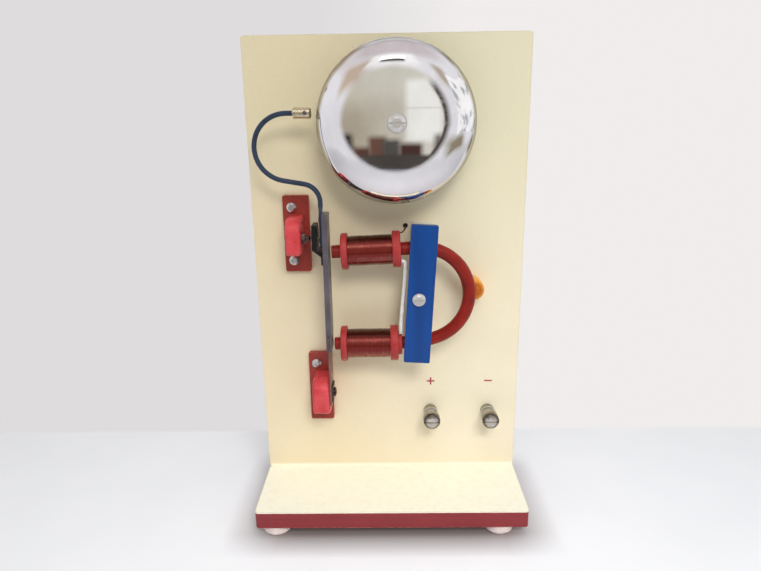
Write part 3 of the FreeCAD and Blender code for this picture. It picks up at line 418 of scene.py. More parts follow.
def makeEnamelWire():
    # enamelled copper wire under a coat of shellac: dark red-brown, with painted shade on its top and a
    # painted highlight in one band above the middle of each coil and in another below it
    material, tree, shader, spot = newMaterial("shellackedCopperWire")
    turnsRound = {"stretch": (1.0, 0.1, 0.1)}
    upward = addNode(tree, "SeparateXYZ", None, {"Vector": addNode(tree, "NewGeometry").outputs["Normal"]})
    slope = upward.outputs["Z"]
    paintedTopShade = addNode(tree, "MapRange", {"From Min": 0.6, "From Max": 0.8, "To Max": 0.9}, {"Value": slope})
    highlightPatches = patches(tree, spot, 5, 0.3, 0.6, 0.35, detail=2, least=0.15)
    colour = layColours(tree, "#74170B", [
        (patches(tree, spot, 0.9, 0.35, 0.68, 0.4, **turnsRound), "#841E12"),
        (patches(tree, spot, 6, 0.5, 0.75, 0.35), "#68150A"),
        # painted highlight bands, one above and one below the middle, broken up by patches
        (beyond(tree, [(slope, 0.3, 0.44), (slope, 0.64, 0.5)], highlightPatches), "#A8584A"),
        (beyond(tree, [(slope, -0.66, -0.5), (slope, -0.2, -0.36)], highlightPatches), "#9A5650"),
        # painted shade on the upward faces
        (paintedTopShade.outputs["Result"], "#46180C"),
    ])
    sheen = patches(tree, spot, 0.9, 0.3, 0.7, 0.1, least=0.2, **turnsRound)
    values = {"Metallic": 0.65, "Coat Weight": 0.35, "Coat Roughness": 0.12, "Specular IOR Level": 0.4}
    finishSurface(tree, shader, colour, sheen, patches(tree, spot, 0.9, 0, 1, **turnsRound), 0.012, values)
    return material


def makeInsulation(name, main, dark):
    # extruded PVC: smooth, slightly waxy, a little grubby
    material, tree, shader, spot = newMaterial(name)
    colour = layColours(tree, main, [(patches(tree, spot, 4, 0.4, 0.75, detail=4), dark)])
    sheen = patches(tree, spot, 1.5, 0.3, 0.7, 0.18, least=0.32)
    finishSurface(tree, shader, colour, sheen, patches(tree, spot, 0.7, 0, 1, detail=2), 0.02)
    return material


def makeMaterials():
    # by material slot, by node where a piece's plate is older than the rest of its slot, and one for the nuts
    along = (1, 1, 0.12)
    brownedSteel = makeMetal("brownedSteel", "#5E4C4A", "#493B3A", "#97857C", 0.16, 0.5)
    return {
        # for each laminate: the pale tone, the patch tone, the painted shade at the upright's top and the
        # painted light on the base
        "white_laminate": makeLaminate("creamMelamineLaminate", "#F5EACF", "#EEE1C4", "#E9E1C1", "#FDFAE6"),
        "maroon_board": makeEdgePaint(),
        "back_laminate": makeLaminate("plainBackingLaminate", "#D8CFB8", "#CBBF9F", "#D3CBB2", "#D8CFB8"),
        "gong_chrome": makeGongPlate(),
        "nickel": makeMetal("nickelPlatedBrass", "#EEEDEB", "#DEDBD7", "#A39C92", 0.34, 0.5, 0.2),
        "knurled_nickel": makeKnurledNickel(),
        "terminal_collars": makeMetal("agedNickelPlate", "#B0AF9F", "#8B8A7A", "#55544A", 0.2, 0.5),
        "hammer_head": makeMetal("wornNickelPlate", "#E2D6B8", "#C9BD9E", "#7B7260", 0.2, 0.5),
        "spring_clamp_plate": brownedSteel,
        "spring_clamp_screw": brownedSteel,
        "contact_lock_nut": brownedSteel,
        "contact_stud": brownedSteel,
        "zinc_steel": makeMetal("zincPlatedSteel", "#E3E1E2", "#C3C1C1", "#97928A", 0.26, 0.4, 0.35),
        "blued_steel": makeEnamelledSteel("blueEnamelledRod", "#2D3A50", "#233044", "#8B8F98", 0.26),
        "dark_steel": makeEnamelledSteel("greyEnamelledSteel", "#6A646B", "#58525A", "#9A959C", 0.3,
                                         metal=0.3),
        "red_core": makeEnamelledSteel("redVarnishedIron", "#931605", "#741005", "#A2604E", 0.34),
        "red_plastic": makeMouldedPlastic("redPolystyrene", "#C4353A", "#D85055", "#E9A79E", 0.24,
                                          plateFrom=5.5),
        "bobbin_plastic": makeMouldedPlastic("brickRedPolystyrene", "#9F2A29", "#AE3A38", "#CF9086", 0.34),
        "enamelled_copper": makeEnamelWire(),
        "blue_paint": makeEnamelledSteel("royalBlueEnamel", "#034590", "#053A7C", "#5F7FAE", 0.3,
                                         stretch=along),
        "white_plastic": makeMouldedPlastic("whitePolystyrene", "#E4E0D4", "#EFECE4", "#CFC9BA", 0.35, 0.05),
        "brass": makeMetal("turnedBrass", "#D9B871", "#B8934C", "#7C5F2E", 0.2, 0.4),
        "phosphor_bronze": makeMetal("rolledPhosphorBronze", "#A98478", "#8A685F", "#5C4740", 0.3, 0.8,
                                     stretch=along),
        "contact_strip_metal": makeEnamelledSteel("blackenedSpringBrass", "#1D1B1E", "#161518", "#4C4644",
                                                  0.36, metal=0.4),
        "silver": makeMetal("silverContact", "#E9E7E3", "#D2CFC9", "#6F675A", 0.2, 0.3),
        "grey_rubber": makeRubber("paleGreyRubber", "#F5E4DF", "#E2D2CC"),
        "amber_rubber": makeAmber(),
        "black_rubber": makeRubber("blackGrommetRubber", "#1C1B1B", "#2A2828", 0.5),
        "white_insulation": makeInsulation("whitePvcSleeve", "#F0EEE8", "#DDD8CC"),
        "red_insulation": makeInsulation("redPvcWire", "#A82420", "#8C1C1A"),
        "fibre": makeRubber("redVulcanisedFibre", "#7A2C20", "#662218", 0.55),
    }


gongFacts = {"centre": (4.5, -3.0, 221.5), "radius": 40.5, "wall": 1.4, "brim": 4.5, "shoulder": 15.0,
             "leanDeg": 13.3, "holeRadius": 2.05}


def makeGong(material):
    # outer and inner skins of the pressed shell: a shoulder arc, a shallow crown arc, and back inside to the
    # half circle of the brim's lip
    facts = gongFacts
    lean = math.radians(facts["leanDeg"])
    neck = facts["radius"] - facts["shoulder"]
    crown = (neck + facts["shoulder"] * math.sin(lean)) / math.sin(lean)
    crownAlong = facts["brim"] + facts["shoulder"] * math.cos(lean) - crown * math.cos(lean)

    def skin(inset):
        shoulder = arcPoints((facts["brim"], neck), facts["shoulder"] - inset, 90, facts["leanDeg"], 40)
        tip = math.degrees(math.asin(facts["holeRadius"] / (crown - inset)))
        dome = arcPoints((crownAlong, 0), crown - inset, facts["leanDeg"], tip, 40)
        return np.concatenate([shoulder, dome[1:]])

    half = facts["wall"] / 2
    lip = arcPoints((half, facts["radius"] - half), half, 270, 90, 9)
    profile = np.concatenate([skin(0.0), skin(facts["wall"])[::-1], lip])
    lathe("gongShell", profile, facts["centre"], (0, -1, 0), material, "stand", ("gong",),
          sides=192, ring=True)


coreFacts = {"centre": (17.5, 131.2), "bend": 26.0, "rodRadius": 3.5, "chamfer": 0.3, "tiltDeg": 2.0,
             "upperLeg": 47.1, "lowerLeg": 48.9, "legGap": 1.0, "joinDeg": 15.6, "sweep": 60.0,
             "splayDeg": 1.7, "midY": -6.5}


def coreToWorld(along, across):
    # a point of the core's own plane, turned with the core
    tilt = math.radians(coreFacts["tiltDeg"])
    x = coreFacts["centre"][0] + along * math.cos(tilt) - across * math.sin(tilt)
    z = coreFacts["centre"][1] + along * math.sin(tilt) + across * math.cos(tilt)
    return x, z


def lowerLegArc():
    # the wide arc that joins the bend to the splayed lower leg: its centre is on the line through the join
    facts = coreFacts
    join = math.radians(facts["joinDeg"])
    apart = facts["sweep"] - facts["bend"]
    centre = (-apart * math.sin(join), apart * math.cos(join))
    return arcPoints(centre, facts["sweep"], facts["joinDeg"] - 90, -90 - facts["splayDeg"], 24)


def acrossLowerLeg(along):
    # the leg runs on from the end of that arc, and rises by the splay's tangent
    startAlong, startAcross = lowerLegArc()[-1]
    return startAcross + (startAlong - along) * math.tan(math.radians(coreFacts["splayDeg"]))


def makeCore(material):
    # a round bar bent to a horseshoe: a straight leg, a half circle, a wide sweep and a splayed leg; its ends
    # are chamfered, and the legs' points keep a gap to the arcs
    facts = coreFacts
    bend, radius, chamfer = facts["bend"], facts["rodRadius"], facts["chamfer"]
    upper = np.stack([np.linspace(-facts["upperLeg"], -facts["legGap"], 24), np.full(24, bend)], 1)
    arc = arcPoints((0, 0), bend, 90, facts["joinDeg"] - 90, 49)
    sweep = lowerLegArc()
    run = np.linspace(sweep[-1, 0] - facts["legGap"], -facts["lowerLeg"], 20)
    lower = np.stack([run, acrossLowerLeg(run)], 1)
    upperEnd, lowerEnd = upper[:1] + (chamfer, 0), lower[-1:] + (chamfer, 0)
    flat = np.concatenate([upper[:1], upperEnd, upper[1:], arc, sweep[1:], lower[:-1], lowerEnd, lower[-1:]])
    x, z = coreToWorld(flat[:, 0], flat[:, 1])
    path = np.stack([x, np.full_like(x, facts["midY"]), z], 1)
    thick = np.full(len(path), radius)
    thick[[0, -1]] = radius - chamfer
    sides = 48
    grid = tubeGrid(path, thick, sides, (0, 1, 0))
    putMesh("horseshoeCore", grid.reshape(-1, 3), gridFaces(len(path), sides), material, "stand",
            ("u_core",))


coilFacts = {"bore": 3.55, "flange": 9.8, "left": 3.5, "length": 23.8, "right": 4.4, "tube": 5.0, "soft": 0.9,
             "hubSoft": 0.4, "play": 0.05, "layers": 8.1, "pitch": 0.56, "relief": 0.07,
             "upper": {"start": -41.92, "leanDeg": 2.0, "hub": None},
             "lower": {"start": -45.33, "leanDeg": 0.3, "hub": (6.6, 2.1)}}


def legSpot(side, along):
    # where a length along the upper or lower leg is, and which way that leg points
    across = coreFacts["bend"] if side == "upper" else acrossLowerLeg(along)
    x, z = coreToWorld(along, across)
    lean = math.radians(coilFacts[side]["leanDeg"])
    return (x, coreFacts["midY"], z), (math.cos(lean), 0, math.sin(lean))


def makeBobbin(side, material):
    # two discs on an open tube, and on the lower spool a hub: each corner of their rims is a quarter circle,
    # wider on the outer faces
    facts = coilFacts
    wide, bore, soft, hubSoft = facts["flange"], facts["bore"], facts["soft"], facts["hubSoft"]
    fine = soft * 0.6
    left, right = facts["left"], facts["left"] + facts["length"]
    end = right + facts["right"]
    hub = facts[side]["hub"]
    outside = [arcPoints((end - soft, wide - soft), soft, 0, 90, 7),
               arcPoints((right + fine, wide - fine), fine, 90, 180, 5)]
    inside = [arcPoints((left - fine, wide - fine), fine, 0, 90, 5),
              arcPoints((soft, wide - soft), soft, 90, 180, 7)]
    nose = np.array([(end, bore)])
    if hub:
        hubRadius, hubLength = hub
        lip = arcPoints((end + hubLength - hubSoft, hubRadius - hubSoft), hubSoft, 0, 90, 5)
        nose = np.concatenate([[(end + hubLength, bore)], lip, [(end, hubRadius)]])
    tube = [(right, facts["tube"]), (left, facts["tube"])]
    profile = np.concatenate([[(0, bore)], nose, *outside, tube, *inside])
    base, axis = legSpot(side, facts[side]["start"])
    lathe(side + "Spool", profile, base, axis, material, "stand", (side + "_bobbin",),
          ring=True, sharpAngle=40)


def makeWinding(side, material):
    # turns of wire side by side: the radius follows a row of half circles that advance one pitch a turn, and
    # sinks a little in two long waves
    facts = coilFacts
    length = facts["length"] - facts["play"] * 2
    pitch, layers = facts["pitch"], facts["layers"]
    along = np.linspace(0, length, int(length / pitch) * 8 + 1)
    inner = facts["tube"] + facts["play"]
    profile = [(0, inner)] + [(a, layers) for a in along] + [(length, inner)]

    def turns(alongGrid, radiusGrid, angle):
        phase = (alongGrid / pitch + angle / (2 * np.pi)) % 1.0
        bead = np.sqrt(np.clip(1 - (2 * phase - 1) ** 2, 0, 1))
        sag = 0.06 + 0.04 * np.sin(alongGrid * 0.55 + 1.3) + 0.02 * np.sin(alongGrid * 1.7)
        return np.where(radiusGrid > inner + 0.1, radiusGrid - facts["relief"] * (1 - bead) - sag, radiusGrid)

    base, axis = legSpot(side, facts[side]["start"] + facts["left"] + facts["play"])
    lathe(side + "Turns", profile, base, axis, material, "stand", (side + "_winding",),
          ripple=turns, sharpAngle=80)


springFacts = {"x": (-33.9, -32.9), "y": (-12.5, -0.5), "z": (67.5, 109.5), "corner": 0.8, "soft": 0.15,
               "rows": 60, "bendFrom": 79.2, "bendTo": 100.7}


def makeSpring(material):
    # a flat strip with rounded corners: many rows of eight points between its two ends
    facts = springFacts
    corner, soft = facts["corner"], facts["soft"]
    (x0, x1), (y0, y1), (z0, z1) = facts["x"], facts["y"], facts["z"]
    rows = np.linspace(z0, z1, facts["rows"])
    narrow = np.clip((corner - np.minimum(rows - z0, z1 - rows)) / corner, 0, 1) ** 2 * corner
    ring = np.array([(x0 + soft, 0, 1), (x1 - soft, 0, 1), (x1, soft, 1), (x1, -soft, -1), (x1 - soft, 0, -1),
                     (x0 + soft, 0, -1), (x0, -soft, -1), (x0, soft, 1)])
    half, middle = (y1 - y0) / 2, (y0 + y1) / 2
    y = middle - ring[None, :, 2] * (half - narrow[:, None]) + ring[None, :, 1]
    x = np.broadcast_to(ring[None, :, 0], y.shape)
    points = np.stack([x, y, np.broadcast_to(rows[:, None], y.shape)], -1)
    points = points.reshape(-1, 3) * mm
    piece = putMesh("springStrip", points, gridFaces(len(rows), len(ring)), material, None,
                    ("spring_strip",))
    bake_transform(piece)


rodFacts = {"headX": -39.9, "strikeZ": 227.1, "loopX": -51.5, "loop": 16.9, "dipDeg": 10.0, "elbow": 9.7,
            "downX": -35.6, "radius": 1.3, "tail": (158.0, 177.0), "tailThick": 1.6, "tailWidth": 5.0,
            "forgedFrom": 3.5, "forgedOver": 4.0, "topGap": 0.8, "dropGap": 0.7, "tailGap": 0.01,
            "midY": -6.5, "sides": 24, "dropRings": 40}


def makeRod(material):
    # straight from the hammer, a loop, a sloping run, an elbow and a straight drop to a flattened tail; the
    # straight runs keep a gap to the arcs
    facts = rodFacts
    downX, midY, sides, dropRings = facts["downX"], facts["midY"], facts["sides"], facts["dropRings"]
    dip = math.radians(facts["dipDeg"])
    loopZ = facts["strikeZ"] - facts["loop"]
    loop = arcPoints((facts["loopX"], loopZ), facts["loop"], 90, 270 - facts["dipDeg"], 60)
    elbowX = downX - facts["elbow"]
    turnX = elbowX + facts["elbow"] * math.sin(dip)
    turnZ = loop[-1, 1] - (turnX - loop[-1, 0]) * math.tan(dip)
    elbowZ = turnZ - facts["elbow"] * math.cos(dip)
    elbow = arcPoints((elbowX, elbowZ), facts["elbow"], 90 - facts["dipDeg"], 0, 24)
    run = np.linspace(facts["headX"], facts["loopX"] + facts["topGap"], 8)
    top = np.stack([run, np.full(8, facts["strikeZ"])], 1)
    slope = np.linspace(loop[-1], elbow[0], 10)[1:-1]
    tailLow, tailHigh = facts["tail"]
    dropFrom, dropTo = elbowZ - facts["dropGap"], tailLow + facts["tailGap"]
    drop = np.linspace((downX, dropFrom), (downX, dropTo), dropRings)
    flat = np.concatenate([top, loop, slope, elbow, drop])
    path = np.stack([flat[:, 0], np.full(len(flat), midY), flat[:, 1]], 1)
    grid = tubeGrid(path, facts["radius"], sides, (0, 1, 0)) / mm
    # the forged tail: the circle becomes a flat oblong by a smooth share, over a few millimetres above it
    onDrop = (np.arange(len(path)) >= len(path) - dropRings)[:, None]
    lowered = (tailHigh + facts["forgedFrom"] - grid[:, :, 2]) / facts["forgedOver"]
    share = np.where(onDrop, np.clip(lowered, 0, 1), 0)
    share = share * share * (3 - 2 * share)
    angle = np.linspace(0, 2 * np.pi, sides, endpoint=False)[None, :]
    square = np.maximum(np.abs(np.cos(angle)), np.abs(np.sin(angle)))
    for axis, middle, size in ((0, downX, facts["tailThick"]), (1, midY, facts["tailWidth"])):
        aside = (grid[:, :, axis] - middle) / facts["radius"]
        forged = middle + np.clip(aside / square, -1, 1) * size / 2
        grid[:, :, axis] = grid[:, :, axis] * (1 - share) + forged * share
    putMesh("hammerRod", grid.reshape(-1, 3) * mm, gridFaces(len(path), sides), material, "armature_assembly",
            ("hammer_rod",))


# the edge and the dome are arcs of the nut's profile: centre, radius, and both ends in degrees
nutFacts = {"x": {"left": 24.0, "right": 58.0}, "z": 54.5, "seatY": 3.2, "bore": 2.05, "neck": 3.7,
            "neckLong": 3.6, "chamfer": 0.3, "radius": 4.8, "length": 10.7, "well": 7.5, "pole": 0.02,
            "flareAt": 4.6, "edge": ((8.8, 3.23), 1.6, 79, 2.6), "dome": ((4.7, 1.43), 6.0, 18.2, 0),
            "grip": (4.8, 9.0), "teeth": 36, "toothDeep": 0.24, "slot": 1.1, "slotDeep": 1.2,
            "cutterReach": 7.0, "cutterSpare": 1.0, "sharpDeg": 40}


def makeThumbNut(side, material):
    # a turned nut with a neck and a domed head; in its grip band the radius follows a row of triangular teeth
    facts = nutFacts
    bore, well, pole = facts["bore"], facts["well"], facts["pole"]
    neck, chamfer, radius, tall = facts["neck"], facts["chamfer"], facts["radius"], facts["length"]
    low, high = facts["grip"]
    foot = [(well, pole), (well, bore), (0, bore), (0, neck - chamfer), (chamfer, neck),
            (facts["neckLong"], neck)]
    flare = arcPoints((facts["flareAt"], neck), radius - neck, 180, 90, 7)
    grip = [(a, radius) for a in np.linspace(low, high, 12)]
    edge = arcPoints(*facts["edge"], 8)
    dome = arcPoints(*facts["dome"], 6)
    profile = np.concatenate([foot, flare, grip, edge, dome[1:], [(tall, pole)]])

    def teeth(alongGrid, radiusGrid, angle):
        wave = np.abs((angle * facts["teeth"] / (2 * np.pi)) % 1.0 * 2 - 1)
        band = (alongGrid > low + 0.1) & (alongGrid < high - 0.1) & (radiusGrid > radius - 0.05)
        return radiusGrid - band * facts["toothDeep"] * wave

    x = facts["x"][side]
    z, seatY = facts["z"], facts["seatY"]
    piece = lathe(side + "Nut", profile, (x, seatY, z), (0, -1, 0), material, side + "_nut_body",
                  (side + "_thumb_nut",), facts["teeth"] * 4, teeth, sharpAngle=facts["sharpDeg"])
    # a box cuts the driver slot across the face
    half, far, reach = facts["slot"] / 2, seatY - tall, facts["cutterReach"]
    spanX, spanZ = (x - reach, x + reach), (z - half, z + half)
    spanY = (far - facts["cutterSpare"], far + facts["slotDeep"])
    corners = [(a * mm, b * mm, c * mm) for a in spanX for b in spanY for c in spanZ]
    boxFaces = [(0, 1, 3, 2), (4, 6, 7, 5), (0, 4, 5, 1), (2, 3, 7, 6), (0, 2, 6, 4), (1, 5, 7, 3)]
    cutter = bpy.data.meshes.new("slotCutter")
    cutter.from_pydata(corners, [], boxFaces)
    tool = bpy.data.objects.new("slotCutter", cutter)
    bpy.context.scene.collection.objects.link(tool)
    carve = piece.modifiers.new("slot", "BOOLEAN")
    carve.operation, carve.object, carve.solver = "DIFFERENCE", tool, "EXACT"
    carved = bpy.data.meshes.new_from_object(piece.evaluated_get(bpy.context.evaluated_depsgraph_get()))
    piece.modifiers.clear()
    piece.data = carved
    carved.set_sharp_from_angle(angle=math.radians(facts["sharpDeg"]))
    bpy.data.objects.remove(tool)


padFacts = {"y": (-3.0, 8.5), "back": -0.8, "straight": 4.0, "half": 5.8, "nose": 5.85, "soft": 2.6,
            "middle": 4.0, "glowY": -1.0, "drawnIn": 0.24, "faceRings": (0.55, 0.3, 0.08)}


def makePad(material):
    # a soft cast block: a D outline rounded by averaging, with its front edge drawn in along a quarter circle
    facts = padFacts
    half, straight = facts["half"], facts["straight"]
    noseX = straight - math.sqrt(facts["nose"] ** 2 - half ** 2)
    swing = math.degrees(math.asin(half / facts["nose"]))
    nose = arcPoints((noseX, 0), facts["nose"], -swing, swing, 40)
    back = np.linspace((straight, half), (facts["back"], half), 9)[1:]
    down = np.linspace((facts["back"], half), (facts["back"], -half), 19)[1:]
    low = np.linspace((facts["back"], -half), (straight, -half), 9)[1:-1]
    outline = np.concatenate([nose, back, down, low])
    for _ in range(3):
        outline = (np.roll(outline, 1, 0) + outline * 2 + np.roll(outline, -1, 0)) / 4
    x, z = coreToWorld(coreFacts["bend"], 0)
    middle = np.array([facts["middle"], 0.0])
    front, rear = facts["y"]
    rings = [(rear, 1.0)]
    for turn in np.radians(np.linspace(0, 90, 10)):
        y = front + facts["soft"] * (1 - math.sin(turn))
        rings.append((y, 1 - facts["drawnIn"] * (1 - math.cos(turn))))
    rings += [(front, share) for share in facts["faceRings"]]
    points = []
    for y, share in rings:
        spread = middle + (outline - middle) * share
        points.append(np.stack([x + spread[:, 0], np.full(len(outline), y), z + spread[:, 1]], 1))
    points = np.array(points).reshape(-1, 3) * mm
    putMesh("corePad", points, gridFaces(len(rings), len(outline)), material, "stand",
            ("core_pad",), 60)


markFacts = {"y": 8.5, "z": 73.4, "arm": 2.3, "thick": 0.95, "proud": 0.03}


def makeMarks():
    # screen-printed ink, a plus and a minus over the terminals: flat crosses that stand a hair off the board
    material, tree, shader, spot = newMaterial("redScreenInk")
    colour = layColours(tree, "#A83046", [(patches(tree, spot, 0.6, 0.35, 0.7), "#BC4A58")])
    rough = patches(tree, spot, 0.5, 0.3, 0.7, 0.2, detail=2, least=0.4)
    finishSurface(tree, shader, colour, rough, patches(tree, spot, 0.3, 0, 1, detail=2), 0.01)
    facts = markFacts
    arm, half = facts["arm"], facts["thick"] / 2
    cross = [(-half, -arm), (half, -arm), (half, -half), (arm, -half), (arm, half), (half, half), (half, arm),
             (-half, arm), (-half, half), (-arm, half), (-arm, -half), (-half, -half)]
    bar = [(-arm, -half), (arm, -half), (arm, half), (-arm, half)]
    for name, side, shape in (("plusMark", "left", cross), ("minusMark", "right", bar)):
        x, count = nutFacts["x"][side], len(shape)
        points = [((x + a) * mm, (facts["y"] - d) * mm, (facts["z"] + b) * mm)
                  for d in (0.0, facts["proud"]) for a, b in shape]
        faces = [(i, (i + 1) % count, (i + 1) % count + count, i + count) for i in range(count)]
        faces += [tuple(range(count))[::-1], tuple(range(count, count * 2))]
        putMesh(name, points, faces, material, "stand", (), 30)


# each piece of furniture is (middle, half width, top, colour), in the directions that mirrors look
roomFacts = {"wallLeft": "#DEDCDD", "wallRight": "#F0EDEC", "table": "#F1F2F5", "wallY": 0.084, "world": 0.42,
             "lift": 0.12, "discEdge": 0.875, "shade": {"half": (0.079, 0.043), "soft": (0.016, 0.01)},
             "gongSpot": (0.0045, -0.03, 0.2215), "far": (0.7, 1.5), "tableHalf": 6.0,
             "furniture": [(-0.455, 0.055, -0.09, "#3B3534"), (-0.33, 0.09, -0.22, "#5A3F38"),
                           (-0.17, 0.085, -0.12, "#6A4F44"), (-0.04, 0.085, -0.15, "#55534F"),
                           (0.15, 0.11, -0.19, "#4B3533"), (0.40, 0.035, -0.10, "#7A736C")]}


def raysThatSee(tree):
    # 1 for a ray from the camera, from a mirror or through glass; 0 for the rays that only carry light
    rays = addNode(tree, "LightPath")
    first = addNode(tree, "Math", {"operation": "MAXIMUM"},
                    {0: rays.outputs["Is Camera Ray"], 1: rays.outputs["Is Glossy Ray"]})
    second = addNode(tree, "Math", {"operation": "MAXIMUM"},
                     {0: first.outputs["Value"], 1: rays.outputs["Is Transmission Ray"]})
    return second.outputs["Value"], rays.outputs["Is Glossy Ray"]


def mirroredRoom(tree, way):
    # the room by direction. The camera sees a pale wall, brighter at the right. Mirrors see a beige wall with
    # a window and dark furniture ahead, within a round patch, and outside it pale walls, a ceiling light and
    # a window on to trees at the right
    x, y, z = addNode(tree, "SeparateXYZ", None, {"Vector": way}).outputs
    edge, blur = roomFacts["discEdge"], 0.012
    disc = beyond(tree, [(y, blur - edge, -blur - edge)])
    layers = [
        (beyond(tree, [(x, -0.35, 0.35)]), "#D6D3C9"),
        (beyond(tree, [(z, 0.05, 0.42)]), "#D0CFC2"),
        (oblong(tree, x, z, (0.26, 0.10), (0.16, 0.27), 0.03), "#F1F1EC"),
        (oblong(tree, x, z, (0.26, 0.13), (0.16, 0.004), 0.006), "#C9C6BD"),
    ]
    for middle, half, top, colour in roomFacts["furniture"]:
        layers.append((oblong(tree, x, z, (middle, top - 0.5), (half, 0.5), 0.03), colour))
    layers += [
        (beyond(tree, [(z, -0.28, -0.32)]), "#4C4744"),
        (beyond(tree, [(z, -0.44, -0.455), (x, -0.2, -0.1)]), "#8D8D94"),
        (beyond(tree, [(y, -edge - 0.026, -edge - 0.018), (x, 0.28, 0.36)]), "#4A423E"),
    ]
    roomAhead = layColours(tree, "#B4AB99", layers)
    pane = {"centre": (0.80, 0.22), "halfSize": (0.20, 0.34), "soft": 0.015}
    leaves = patches(tree, way, 150, 0.5, 0.64, 0.75, (0.4, 0.4, 1), 2)
    stroke = oblong(tree, x, z, (-0.82, 0.40), (0.02, 0.03), 0.012)
    roomAround = layColours(tree, "#E8E8ED", [
        (beyond(tree, [(z, 0.72, 0.9)]), "#D0C7CA"),
        (oblong(tree, x, z, (-0.46, 0.52), (0.22, 0.22), 0.09), "#C6B5A2"),
        (oblong(tree, x, z, (-0.02, 0.64), (0.25, 0.16), 0.04), "#FFFFFF"),
        (oblong(tree, x, z, (-0.02, 0.54), (0.11, 0.022), 0.01), "#4F4844"),
        (oblong(tree, x, z, (0.50, 0.50), (0.10, 0.16), 0.06), "#B5A999"),
        (beyond(tree, [(y, 0.0, 0.1)], stroke), "#5C5855"),
        (oblong(tree, x, z, (0.70, -0.24), (0.22, 0.10), 0.05), "#938A74"),
        (oblong(tree, x, z, **pane), "#FFFFFF"),
        (oblong(tree, x, z, within=leaves, **pane), "#8E99A2"),
    ])
    brighter = beyond(tree, [(x, -0.1, 0.12)])
    wall = layColours(tree, roomFacts["wallLeft"], [(brighter, roomFacts["wallRight"])])
    return wall, layColours(tree, roomAround, [(disc, roomAhead)]), disc


def makeStage():
    # a table top with a painted shadow all round the bell's base; its rear part is seen as the pale wall, and
    # mirrors see the room in it far from the bell, from half as far as the camera does
    facts = roomFacts
    shade = facts["shade"]
    material, tree, shader, spot = newMaterial("paleTableTop")
    x, y, _ = addNode(tree, "SeparateXYZ", None, {"Vector": spot}).outputs
    rough = patches(tree, spot, 30, 0.3, 0.7, 0.1, least=0.5)
    sees, glossy = raysThatSee(tree)
    toCamera = addNode(tree, "LightPath").outputs["Is Camera Ray"]
    tableWithShadow = layColours(tree, facts["table"], [
        (patches(tree, spot, 60, 0.4, 0.8, 0.4), "#E8E9EC"),
        (glossy, "#DDDCE2"),
        # painted shadow round the base's footprint
        (oblong(tree, x, y, (0, 0), shade["half"], shade["soft"]), "#8E8480"),
    ])
    finishSurface(tree, shader, tableWithShadow, rough, patches(tree, spot, 1.5, 0, 1), 0.01)
    lift = addNode(tree, "Math", {"operation": "MULTIPLY", 1: facts["lift"]}, {0: toCamera}).outputs["Value"]
    tree.links.new(lift, shader.inputs["Emission Strength"])
    tree.links.new(tableWithShadow, shader.inputs["Emission Color"])
    wallY, blur = facts["wallY"], 0.002
    behind = beyond(tree, [(y, wallY - blur, wallY + blur)])
    length = addNode(tree, "VectorMath", {"operation": "LENGTH"}, {0: spot}).outputs["Value"]
    reach = addNode(tree, "Math", {"operation": "MULTIPLY_ADD"}, {0: length, 1: glossy, 2: length})
    away = beyond(tree, [(reach.outputs["Value"], *facts["far"])])
    fromGong = addNode(tree, "VectorMath", {"operation": "SUBTRACT", 1: facts["gongSpot"]}, {0: spot})
    toward = addNode(tree, "VectorMath", {"operation": "NORMALIZE"}, {0: fromGong.outputs["Vector"]})
    wall, room, disc = mirroredRoom(tree, toward.outputs["Vector"])
    inDisc = addNode(tree, "Math", {"operation": "MULTIPLY"}, {0: disc, 1: glossy}).outputs["Value"]
    picture = layColours(tree, wall, [(glossy, room)])
    shown = behind
    for operation, other in (("MAXIMUM", away), ("MAXIMUM", inDisc), ("MULTIPLY", sees)):
        shown = addNode(tree, "Math", {"operation": operation}, {0: shown, 1: other}).outputs["Value"]
    glow = addNode(tree, "Emission", {"Strength": 1.0}, {"Color": picture})
    both = addNode(tree, "MixShader", None, {0: shown, 1: shader.outputs[0], 2: glow.outputs[0]})
    output = next(n for n in tree.nodes if n.bl_idname == "ShaderNodeOutputMaterial")
    tree.links.new(both.outputs["Shader"], output.inputs["Surface"])
    size = facts["tableHalf"]
    corners = [(-size, -size, 0), (size, -size, 0), (size, size, 0), (-size, size, 0)]
    mesh = bpy.data.meshes.new("tableTop")
    mesh.from_pydata(corners, [], [(0, 1, 2, 3)])
    floor = bpy.data.objects.new("tableTop", mesh)
    floor.data.materials.append(material)
    bpy.context.scene.collection.objects.link(floor)


def makeWorld():
    # soft white light from all round; the camera sees a pale wall, and mirrors see the room
    facts = roomFacts
    world = bpy.data.worlds.new("room")
    bpy.context.scene.world = world
    world.use_nodes = True
    tree = world.node_tree
    tree.nodes.clear()
    wall, room, _ = mirroredRoom(tree, addNode(tree, "TexCoord").outputs["Generated"])
    sees, glossy = raysThatSee(tree)
    colour = layColours(tree, wall, [(glossy, room)])
    soft = addNode(tree, "Background", {"Color": "#FFFFFF", "Strength": facts["world"]})
    seen = addNode(tree, "Background", {"Strength": 1.0}, {"Color": colour})
    both = addNode(tree, "MixShader", None, {0: sees, 1: soft.outputs[0], 2: seen.outputs[0]})
    addNode(tree, "OutputWorld", None, {"Surface": both.outputs[0]})
    bpy.context.scene.view_settings.view_transform = "Standard"


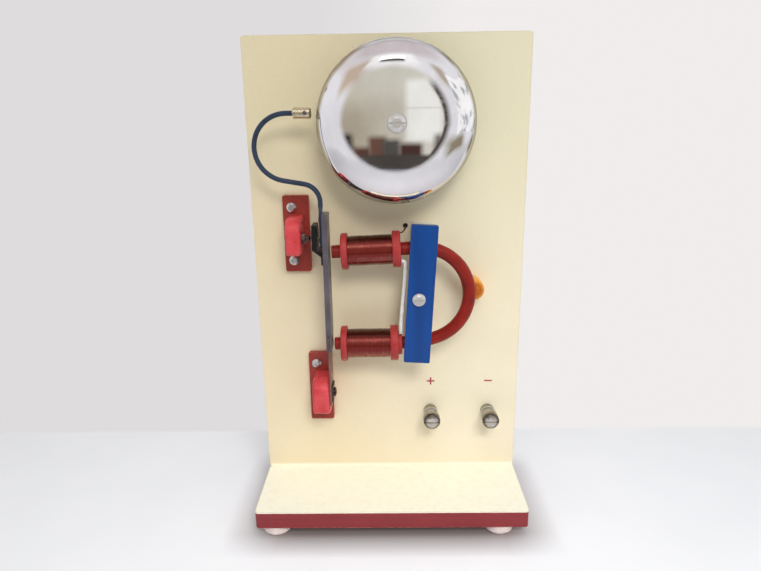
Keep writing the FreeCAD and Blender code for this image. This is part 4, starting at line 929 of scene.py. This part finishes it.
lampFacts = {
    "benchPanel": {"spot": (0.18, -0.72, 0.66), "aim": (0, -0.08, -0.03), "size": (0.35, 0.25),
                   "spreadDeg": 60, "power": 0.56, "mirrored": False},
    "ceilingPanel": {"spot": (0.05, -0.42, 1.3), "aim": (0, 0, 0.13), "size": (0.8, 0.6), "spreadDeg": 180,
                     "power": 3.0, "mirrored": False},
    "ceilingTube": {"spot": (-0.04, -1.5, 1.55), "aim": (0, 0, 0.13), "size": (0.5, 0.25), "spreadDeg": 180,
                    "power": 2.4, "mirrored": True},
    "windowPanel": {"spot": (1.0, -0.35, 0.35), "aim": (0, 0, 0.13), "size": (0.7, 0.7), "spreadDeg": 180,
                    "power": 1.3, "mirrored": False},
}


def makeLamps():
    # mirrors see only the tube, which hangs where the room's own ceiling light is, and no lamp shows itself
    for name, facts in lampFacts.items():
        data = bpy.data.lights.new(name, "AREA")
        data.shape, data.energy = "RECTANGLE", facts["power"]
        data.size, data.size_y = facts["size"]
        data.spread = math.radians(facts["spreadDeg"])
        lamp = bpy.data.objects.new(name, data)
        lamp.location = facts["spot"]
        lamp.rotation_euler = (Vector(facts["aim"]) - lamp.location).to_track_quat("-Z", "Y").to_euler()
        lamp.visible_glossy = facts["mirrored"]
        lamp.visible_camera = False
        bpy.context.scene.collection.objects.link(lamp)


makeCamera()
materials = makeMaterials()
for entry in frame["record"]["subparts"]:
    holder = nodes[entry["node"]]
    holder.data.materials.clear()
    holder.data.materials.append(materials.get(entry["node"], materials[entry["material_slot"]]))
print("bell: materials laid on", len(nodes), "nodes")
makeGong(materials["gong_chrome"])
makeCore(materials["red_core"])
for side in ("upper", "lower"):
    makeBobbin(side, materials["bobbin_plastic"])
    makeWinding(side, materials["enamelled_copper"])
makeSpring(materials["phosphor_bronze"])
makeRod(materials["blued_steel"])
for side in ("left", "right"):
    makeThumbNut(side, materials["knurled_nickel"])
makePad(materials["amber_rubber"])
makeMarks()
print("bell: pieces made")
makeStage()
makeWorld()
makeLamps()
print("bell: table, room and lamps made")
